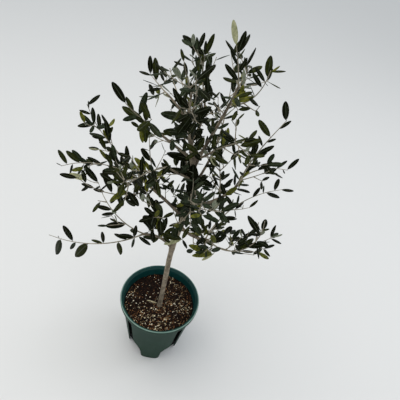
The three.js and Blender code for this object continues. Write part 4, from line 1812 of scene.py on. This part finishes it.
@dataclass
class SlittedPot:
    """The pot: a moulded shell on four feet, with a channel and a slit at each corner, and a beaded rim."""

    top_radius: float = 84
    base_radius: float = 59
    body_top: float = 168
    wall: float = 2
    front_angle: float = -86
    base_power: float = 2.4
    floor_under: float = 31
    channel_depth: float = 8
    channel_half_width: float = 7
    channel_top: float = 154
    channel_end: float = 4
    least_width: float = 0.06
    least_depth: float = 0.02
    arch_half_width: float = 25
    arch_start: float = 42
    arch_end: float = 72
    toe_half_width: float = 30
    toe_height: float = 7
    slit_half_width: float = 2
    slit_share: float = 0.5
    slit_border: float = 1.3
    slit_bottom: float = 38
    slit_top: float = 108
    edge_round: float = 1.3
    edge_share: float = 0.45
    edge_points: int = 4
    wall_crease: float = 50
    panel_points: int = 37
    foot_heights: tuple[float, ...] = (0, 1, 2, 3.5, 5, 7, 12, 18, 24, 31, 34.5, 38, 42)
    arch_heights: tuple[float, ...] = tuple(range(45, 73, 3))
    slit_heights: tuple[float, ...] = (80, 90, 100, 108, 116, 126, 136, 144, 149)
    collar_heights: tuple[float, ...] = (152, 154, 156, 157.5, 158.5, 161, 165, 170, 176)
    rim_segments: int = 176
    lip_curve: tuple[tuple[float, float], ...] = ((82.1, 163), (82.4, 177.5), (87.6, 180))
    lip_points: int = 7
    bead_centre: tuple[float, float] = (87.6, 177.4)
    bead_radii: tuple[float, float] = (2.4, 2.6)
    bead_turn: tuple[float, float] = (60, -45)
    skirt_centre: tuple[float, float] = (88.5, 170.2)
    skirt_radii: tuple[float, float] = (0.8, 1.2)
    skirt_turn: tuple[float, float] = (0, -180)
    arc_points: int = 5
    rim_hollow: tuple[tuple[float, float], ...] = ((87.6, 175.4), (86.2, 176.2), (84.6, 175.4), (84.1, 164))
    bead_from: float = 87.0
    bead_under: float = 178.4
    floor_height: float = 31.2
    floor_crease: float = 30
    floor_rings: tuple[tuple[float, float], ...] = (
        (0.985, 34.0),
        (0.985, 31.2),
        (0.9, 31.2),
        (0.88, 33.0),
        (0.62, 33.0),
        (0.6, 31.6),
        (0.3, 31.6),
        (0.28, 33.2),
        (0.04, 33.2),
    )

    def section_radius(self, angle: float, z: float) -> float:
        """The body's outer radius: round at the top, a little squarer below.

        Args:
            angle: The angle about the pot's axis, in degrees.
            z: The height.

        Returns:
            The radius.
        """
        turn = math.radians(angle - self.front_angle)
        total = abs(math.cos(turn)) ** self.base_power + abs(math.sin(turn)) ** self.base_power
        base = self.base_radius / total ** (1 / self.base_power)
        return base + (self.top_radius - base) * z / self.body_top

    def outline_point(self, angle: float, z: float) -> Vec:
        """The x and y of the body's outer face at an angle and height."""
        return heading(angle, 0)[:2] * self.section_radius(angle, z)

    def half_width(self, z: float) -> float:
        """Half the width between two feet: an arch that narrows to a channel, which closes at its top.

        Args:
            z: The height.

        Returns:
            The half width.
        """
        if z < self.toe_height:
            rounding = math.sqrt(max(0.0, 1 - ((z - self.toe_height) / self.toe_height) ** 2))
            return self.toe_half_width - (self.toe_half_width - self.arch_half_width) * rounding
        share = min(1.0, max(0.0, (z - self.arch_start) / (self.arch_end - self.arch_start)))
        width = self.channel_half_width
        width += (self.arch_half_width - self.channel_half_width) * (1 + math.cos(math.pi * share)) / 2
        closing = (z - (self.channel_top - self.channel_half_width)) / self.channel_half_width
        if closing > 0:
            width *= math.sqrt(max(self.least_width, 1 - closing * closing))
        return width

    def depth(self, z: float) -> float:
        """The channel's depth at a height: it runs out in a round end under the rim."""
        share = min(1.0, max(0.0, (self.channel_top - z) / self.channel_end))
        return self.channel_depth * math.sin(share * math.pi / 2) + self.least_depth

    def soften(self, before: Vec, corner: Vec, after: Vec) -> list[Vec]:
        """Rounds a corner of an outline.

        Args:
            before: The outline's point before the corner.
            corner: The corner.
            after: The point after it.

        Returns:
            The points from one side of the corner to the other.
        """
        ends = []
        for side in (before, after):
            reach = max(TINY, np.linalg.norm(side - corner))
            ends.append(corner + (side - corner) * min(self.edge_share, self.edge_round / reach))
        return list(bend(ends[0], corner, ends[1], self.edge_points))

    def loop(self, z: float) -> tuple[list[Vec], list[Zone]]:
        """The body's outline at a height, counterclockwise.

        Args:
            z: The height.

        Returns:
            Its points, and what each of them belongs to.
        """
        points, zones = [], []
        width, depth = self.half_width(z), self.depth(z)
        slit = min(self.slit_half_width, self.slit_share * width)
        border = slit * self.slit_border
        for quarter in range(4):
            here = self.front_angle - 45 + 90 * quarter
            edge = math.degrees(math.asin(width / self.section_radius(here, z)))
            edge_radius = self.section_radius(here + edge, z)
            edge = math.degrees(math.asin(width / edge_radius))
            start, end, corner = here + edge, here + 90 - edge, here + 90
            round_off = math.degrees(self.edge_round / edge_radius)
            angles = np.linspace(start + round_off, end - round_off, self.panel_points)
            points += [self.outline_point(angle, z) for angle in angles]
            outward, beside = heading(corner, 0)[:2], heading(corner + 90, 0)[:2]
            rim = outward.dot(self.outline_point(end, z))
            back = min(rim - self.least_depth, self.section_radius(corner, z) - depth)
            spots = ((-width, rim), (-width, back), (width, back), (width, rim))
            corners = [outward * out + beside * side for side, out in spots]
            middle = [outward * back + beside * side for side in (-border, -slit, slit, border)]
            last = self.outline_point(corner + edge + round_off, z)
            points += self.soften(points[-1], corners[0], corners[1])[1:]
            points += self.soften(corners[0], corners[1], middle[0])
            points += middle
            points += self.soften(middle[-1], corners[2], corners[3])
            points += self.soften(corners[2], corners[3], last)[:-1]
            zones += [Zone.PANEL] * self.panel_points + [Zone.EDGE] * 3 + [Zone.CHANNEL] * 5
            zones += [Zone.SLIT] + [Zone.CHANNEL] * 6 + [Zone.EDGE] * 3
        return points, zones

    def build(self) -> None:
        """Builds the shell, the rim and the floor."""
        outside, inside = POT_OUTSIDE.material(), POT_INSIDE.material()
        self.build_shell([outside, POT_PAINTED_SHADE.material(), inside, inside])
        self.build_rim([outside, POT_RIM_WEAR_AND_HIGHLIGHT.material(), inside])
        self.build_floor(outside)

    def build_shell(self, materials: Sequence[bpy.types.Material]) -> None:
        """Builds the wall with its feet, channels and slits.

        Args:
            materials: For the outer face's panels, then for its channels and their edges, painted near-black
                as shade, then for the inner face.
        """
        heights = self.foot_heights + self.arch_heights + self.slit_heights + self.collar_heights
        loops = [self.loop(z) for z in heights]
        zones = np.array(loops[0][1])
        points = np.array([[x, y, z] for (loop, _), z in zip(loops, heights) for x, y in loop])
        faces = grid_faces(len(heights), len(zones), True)
        row, column = np.divmod(np.arange(len(faces)), len(zones))
        low, zone = np.array(heights)[row], zones[column]
        is_arch = (low < self.floor_under) & (zone != Zone.PANEL)
        is_slit = (zone == Zone.SLIT) & (low >= self.slit_bottom) & (low < self.slit_top)
        keep = ~is_arch & ~is_slit
        shell = MeshParts()
        # Faces off the panels, in the channels and on their edges, take the near-black painted shade.
        shell.add(points, faces[keep], np.where(zone[keep] == Zone.PANEL, 0, 1))
        wall = shell.build("pot_shell", materials)
        thicken = wall.modifiers.new("wall", "SOLIDIFY")
        thicken.thickness = self.wall * MM
        thicken.offset = -1
        thicken.material_offset = 2
        thicken.material_offset_rim = 0
        wall.data.set_sharp_from_angle(angle=math.radians(self.wall_crease))
        settle(wall, "pot", "pot")

    def rim_outline(self) -> Vec:
        """The rim's section: the lip curves outward to a bead, and a skirt hangs from that with a round edge.

        Returns:
            Rows of radius and height, from inside the lip round to under it.
        """
        lip = bend(*np.array(self.lip_curve), self.lip_points)
        bead = arc(self.bead_centre, self.bead_radii, *self.bead_turn, self.arc_points)
        skirt = arc(self.skirt_centre, self.skirt_radii, *self.skirt_turn, self.arc_points)
        return np.concatenate([lip, bead, skirt, self.rim_hollow])

    def build_rim(self, materials: Sequence[bpy.types.Material]) -> None:
        """Builds the beaded rim.

        Args:
            materials: For its outer face, its bead's top, pale from wear and a painted highlight, and its
                inner face.
        """
        outline = self.rim_outline()
        turns = round_turns(self.rim_segments)
        ring = np.column_stack([np.cos(turns), np.sin(turns)])
        rows = [np.column_stack([ring * radius, np.full(len(ring), z)]) for radius, z in outline]
        rows.append(rows[0])
        faces = grid_faces(len(rows), self.rim_segments, True)[:, ::-1]
        row = np.arange(len(faces)) // self.rim_segments
        radius, z = ((outline + np.roll(outline, -1, axis=0)) / 2)[row].T
        # The bead's outer top takes the pale rim finish, which is partly a painted highlight.
        slots = np.where(radius < self.bead_from, 2, np.where(z > self.bead_under, 1, 0))
        parts = MeshParts()
        parts.add(np.concatenate(rows), faces, slots)
        settle(parts.build("pot_rim", materials), "pot", "pot")

    def build_floor(self, material: bpy.types.Material) -> None:
        """Builds the floor with its moulded steps, seen from below and through the arches.

        Args:
            material: Its material.
        """
        outline = np.array(self.loop(self.floor_height)[0])
        rows = [np.column_stack([outline * share, np.full(len(outline), z)]) for share, z in self.floor_rings]
        parts = MeshParts()
        parts.add(np.concatenate(rows), grid_faces(len(rows), len(outline), True)[:, ::-1])
        floor = parts.build("pot_floor", [material])
        floor.data.set_sharp_from_angle(angle=math.radians(self.floor_crease))
        settle(floor, "pot", "pot")


@dataclass(frozen=True)
class Grit:
    """One kind of grain in the potting mix: how many, how big, how flat and how its places are spread."""

    name: str
    finish: Finish
    count: int
    small: float
    large: float
    slim: float
    seed: int
    clump_mm: float = 26.0
    clumped: float = 0.5


@dataclass
class PottingMix:
    """The soil's surface: a crumbly relief, loose grains on it and a fallen leaf.

    Each of the relief's lumps is a share of its height, its waves per millimetre and its layer of the noise.
    """

    level: float = 153.4
    radius: float = 80.2
    rings: int = 64
    segments: int = 150
    relief: float = 1.5
    lumps: tuple[tuple[float, float, float], ...] = ((0.9, 0.045, 0), (0.5, 0.2, 5), (0.35, 0.6, 9))
    bare_place: tuple[float, float] = (-36, 34)
    bare_radius: float = 34
    bare_weight: float = 1.3
    drift_place: tuple[float, float] = (8, -62)
    drift_radius: float = 34
    drift_weight: float = 0.6
    patch_level: float = 0.55
    patch_contrast: float = 1.3
    edge_gap: float = 2
    mostly_small: float = 2.2
    grain_lumps: float = 0.35
    breadths: tuple[float, float] = (0.7, 1.2)
    thicknesses: tuple[float, float] = (0.6, 1)
    tilts: tuple[float, float] = (-0.6, 0.6)
    lifts: tuple[float, float] = (-0.1, 0.5)
    kinds: tuple[Grit, ...] = (
        Grit("bark_crumbs", BARK_CRUMB, 1500, 1.8, 6.4, 0.6, 11, 18, 0.2),
        Grit("clay_crumbs", CLAY_CRUMB, 620, 1.4, 4.2, 0.75, 12, 30, 0.9),
        Grit("pumice_grit", PUMICE, 360, 1.5, 4.2, 0.8, 13, 34, 0.85),
        Grit("straw_fibres", FIBRE, 330, 2.6, 7.6, 0.26, 14, 38, 1.0),
    )
    leaf_place: tuple[float, float] = (-3.0, -3.0)
    leaf_lift: float = 3.4
    leaf_direction: tuple[float, float, float] = (-0.985, 0.06, 0.02)
    leaf_facing: tuple[float, float, float] = (0.0, 0.1, 0.995)
    leaf_length: float = 27
    leaf_width_share: float = 0.15
    leaf_droop: float = 0.05
    leaf_seed: int = 3

    def height(self, x: float, y: float) -> float:
        """The surface's height at a place."""
        waves = (share * noise.noise(Vector((x, y, layer)) * wave) for share, wave, layer in self.lumps)
        return self.level + self.relief * (1 + sum(waves))

    def bareness(self, x: float, y: float, kind: Grit) -> float:
        """How short a place is of one kind of grain: grains lie in drifts, few at the left rear.

        Args:
            x: The place across.
            y: The place in depth.
            kind: The kind of grain.

        Returns:
            A share from 0 to 1.
        """
        patch = noise.noise(Vector((x / kind.clump_mm, y / kind.clump_mm, kind.seed)))
        away = math.dist((x, y), self.bare_place) / self.bare_radius
        near = math.dist((x, y), self.drift_place) / self.drift_radius
        drift = self.patch_level + self.patch_contrast * patch - self.drift_weight * math.exp(-near * near)
        return min(1.0, max(0.0, drift) + self.bare_weight * math.exp(-away * away))

    def build(self) -> None:
        """Builds the surface, its grains, a fallen leaf and the soil's sides."""
        peat = PEAT.material()
        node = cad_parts["soil"]
        node.data.materials.clear()
        node.data.materials.append(peat)
        turns = round_turns(self.segments)
        rows = []
        for radius in self.radius * np.arange(self.rings + 1) / self.rings:
            x, y = radius * np.cos(turns), radius * np.sin(turns)
            z = np.array([self.height(a, b) for a, b in zip(x, y)])
            rows.append(np.column_stack([x, y, z]))
        parts = MeshParts()
        parts.add(np.concatenate(rows), grid_faces(len(rows), self.segments, True)[:, ::-1])
        settle(parts.build("soil_surface", [peat]), "soil")
        for kind in self.kinds:
            self.build_grit(kind)
        self.build_fallen_leaf()

    def build_grit(self, kind: Grit) -> None:
        """Builds all grains of one kind as one joined mesh.

        Args:
            kind: The kind of grain.
        """
        chance = np.random.default_rng(kind.seed)
        form, faces = icosahedron()
        parts = MeshParts()
        placed = 0
        while placed < kind.count:
            radius = (self.radius - self.edge_gap) * math.sqrt(chance.random())
            turn = 2 * math.pi * chance.random()
            x, y = radius * math.cos(turn), radius * math.sin(turn)
            if chance.random() < kind.clumped * self.bareness(x, y, kind):
                continue
            size = kind.small + (kind.large - kind.small) * chance.random() ** self.mostly_small
            lumps = 1 + self.grain_lumps * (chance.random(len(form)) - 0.5)
            breadth, thickness = chance.uniform(*self.breadths), chance.uniform(*self.thicknesses)
            scale = size / 2 * np.array([1, kind.slim * breadth, kind.slim * thickness])
            turned = np.array(Matrix.Rotation(2 * math.pi * chance.random(), 3, "Z"))
            tipped = np.array(Matrix.Rotation(chance.uniform(*self.tilts), 3, "Y"))
            grain = (form * lumps[:, None] * scale) @ tipped.T @ turned.T
            lift = chance.uniform(*self.lifts) * scale[2]
            parts.add(grain + [x, y, self.height(x, y) + lift], faces)
            placed += 1
        settle(parts.build(f"soil_{kind.name}", [kind.finish.material()], smooth=False), "soil")

    def build_fallen_leaf(self) -> None:
        """Builds the dry leaf that lies on the soil at the trunk's left."""
        root = np.array([*self.leaf_place, self.level + self.leaf_lift])
        leaf = Leaf(root, unit(np.array(self.leaf_direction)), np.array(self.leaf_facing), self.leaf_length)
        blade = Blade(width_share=self.leaf_width_share, droop=self.leaf_droop)
        points, faces, _ = blade.surfaces(leaf, Stream(self.leaf_seed))
        parts = MeshParts()
        parts.add(points, faces)
        settle(parts.build("fallen_leaf", [DRY_LEAF.material()]), "leaves")


def icosahedron() -> tuple[Vec, Vec]:
    """A regular icosahedron of radius 1 about the origin.

    Returns:
        Its twelve points, and three point numbers for each face, counterclockwise from outside.
    """
    golden = (1 + math.sqrt(5)) / 2
    corners = [(a, b * golden, 0) for a in (-1, 1) for b in (-1, 1)]
    points = np.array([np.roll(corner, k) for corner in corners for k in range(3)], float)
    points /= np.linalg.norm(points[0])
    gaps = np.linalg.norm(points[:, None] - points[None], axis=2)
    edge = gaps[gaps > TINY].min() + TINY
    faces = []
    for a, b, c in combinations(range(len(points)), 3):
        if max(gaps[a, b], gaps[b, c], gaps[a, c]) < edge:
            turn = np.cross(points[b] - points[a], points[c] - points[a]).dot(points[a])
            faces.append((a, b, c) if turn > 0 else (a, c, b))
    return points, np.array(faces)


# The studio


@dataclass(frozen=True)
class Lamp:
    """A square soft light: its name, its place and side in metres, its power in watts and its colour."""

    name: str
    place: tuple[float, float, float]
    side: float
    power: float
    colour: str


@dataclass
class Studio:
    """The camera at the photograph's viewing angle, a plain pale floor and soft light. Lengths are metres."""

    sensor_mm: float = 36.0
    floor_side: float = 14.0
    floor_colour: str = "dadad9"
    floor_roughness: float = 0.85
    room_colour: str = "e9eef2"
    room_strength: float = 0.85
    aim: tuple[float, float, float] = (0, 0, 0.45)
    lamps: tuple[Lamp, ...] = (
        Lamp("overhead", (-0.6, -0.1, 2.6), 1.8, 30, "fffaf2"),
        Lamp("side", (1.9, 0.7, 1.8), 1.0, 9, "f6f8ff"),
    )

    def build(self) -> None:
        """Builds the camera, the floor and the lights."""
        self.build_camera()
        self.build_floor()
        self.build_lights()

    def build_camera(self) -> None:
        """Places the camera and makes it the scene's."""
        data = bpy.data.cameras.new("camera")
        data.sensor_width = self.sensor_mm
        data.lens = self.sensor_mm * VIEW.focal / (2 * VIEW.middle)
        camera = bpy.data.objects.new("camera", data)
        bpy.context.scene.collection.objects.link(camera)
        across, upward, forward = VIEW.axes()
        turn = Matrix((across, upward, -forward)).transposed()
        place = Vector(np.array(VIEW.eye) * MM + POT_AXIS)
        camera.matrix_world = Matrix.Translation(place) @ turn.to_4x4()
        bpy.context.scene.camera = camera

    def build_floor(self) -> None:
        """Lays the plain pale floor."""
        half = self.floor_side / 2
        corners = [(-half, -half, 0), (half, -half, 0), (half, half, 0), (-half, half, 0)]
        mesh = bpy.data.meshes.new("floor")
        mesh.from_pydata(corners, [], [(0, 1, 2, 3)])
        material = bpy.data.materials.new("studio_floor")
        material.use_nodes = True
        shader = material.node_tree.nodes["Principled BSDF"]
        shader.inputs["Base Color"].default_value = linear(self.floor_colour)
        shader.inputs["Roughness"].default_value = self.floor_roughness
        mesh.materials.append(material)
        floor = bpy.data.objects.new("floor", mesh)
        bpy.context.scene.collection.objects.link(floor)

    def build_lights(self) -> None:
        """Hangs the soft lights and sets the room's even light."""
        scene = bpy.context.scene
        scene.view_settings.view_transform = "Standard"
        world = bpy.data.worlds.new("room")
        world.use_nodes = True
        background = world.node_tree.nodes["Background"]
        background.inputs["Color"].default_value = linear(self.room_colour)
        background.inputs["Strength"].default_value = self.room_strength
        scene.world = world
        for lamp in self.lamps:
            self.add_light(lamp)

    def add_light(self, lamp: Lamp) -> None:
        """Hangs one light, which faces the crown.

        Args:
            lamp: The light's figures.
        """
        data = bpy.data.lights.new(lamp.name, "AREA")
        data.size, data.energy, data.color = lamp.side, lamp.power, linear(lamp.colour)[:3]
        light = bpy.data.objects.new(lamp.name, data)
        light.location = lamp.place
        light.rotation_mode = "QUATERNION"
        light.rotation_quaternion = (Vector(self.aim) - light.location).to_track_quat("-Z", "Y")
        bpy.context.scene.collection.objects.link(light)


def write_sizes() -> None:
    """Updates the view layer."""
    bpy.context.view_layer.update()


def main() -> None:
    """Builds the studio and the plant's pieces in order."""
    logging.basicConfig(level=logging.INFO, format="%(name)s %(message)s")
    Studio().build()
    SlittedPot().build()
    PottingMix().build()
    skeleton = Skeleton()
    Wood(skeleton).build()
    Crown(skeleton).build()
    write_sizes()


if __name__ == "__main__":
    main()
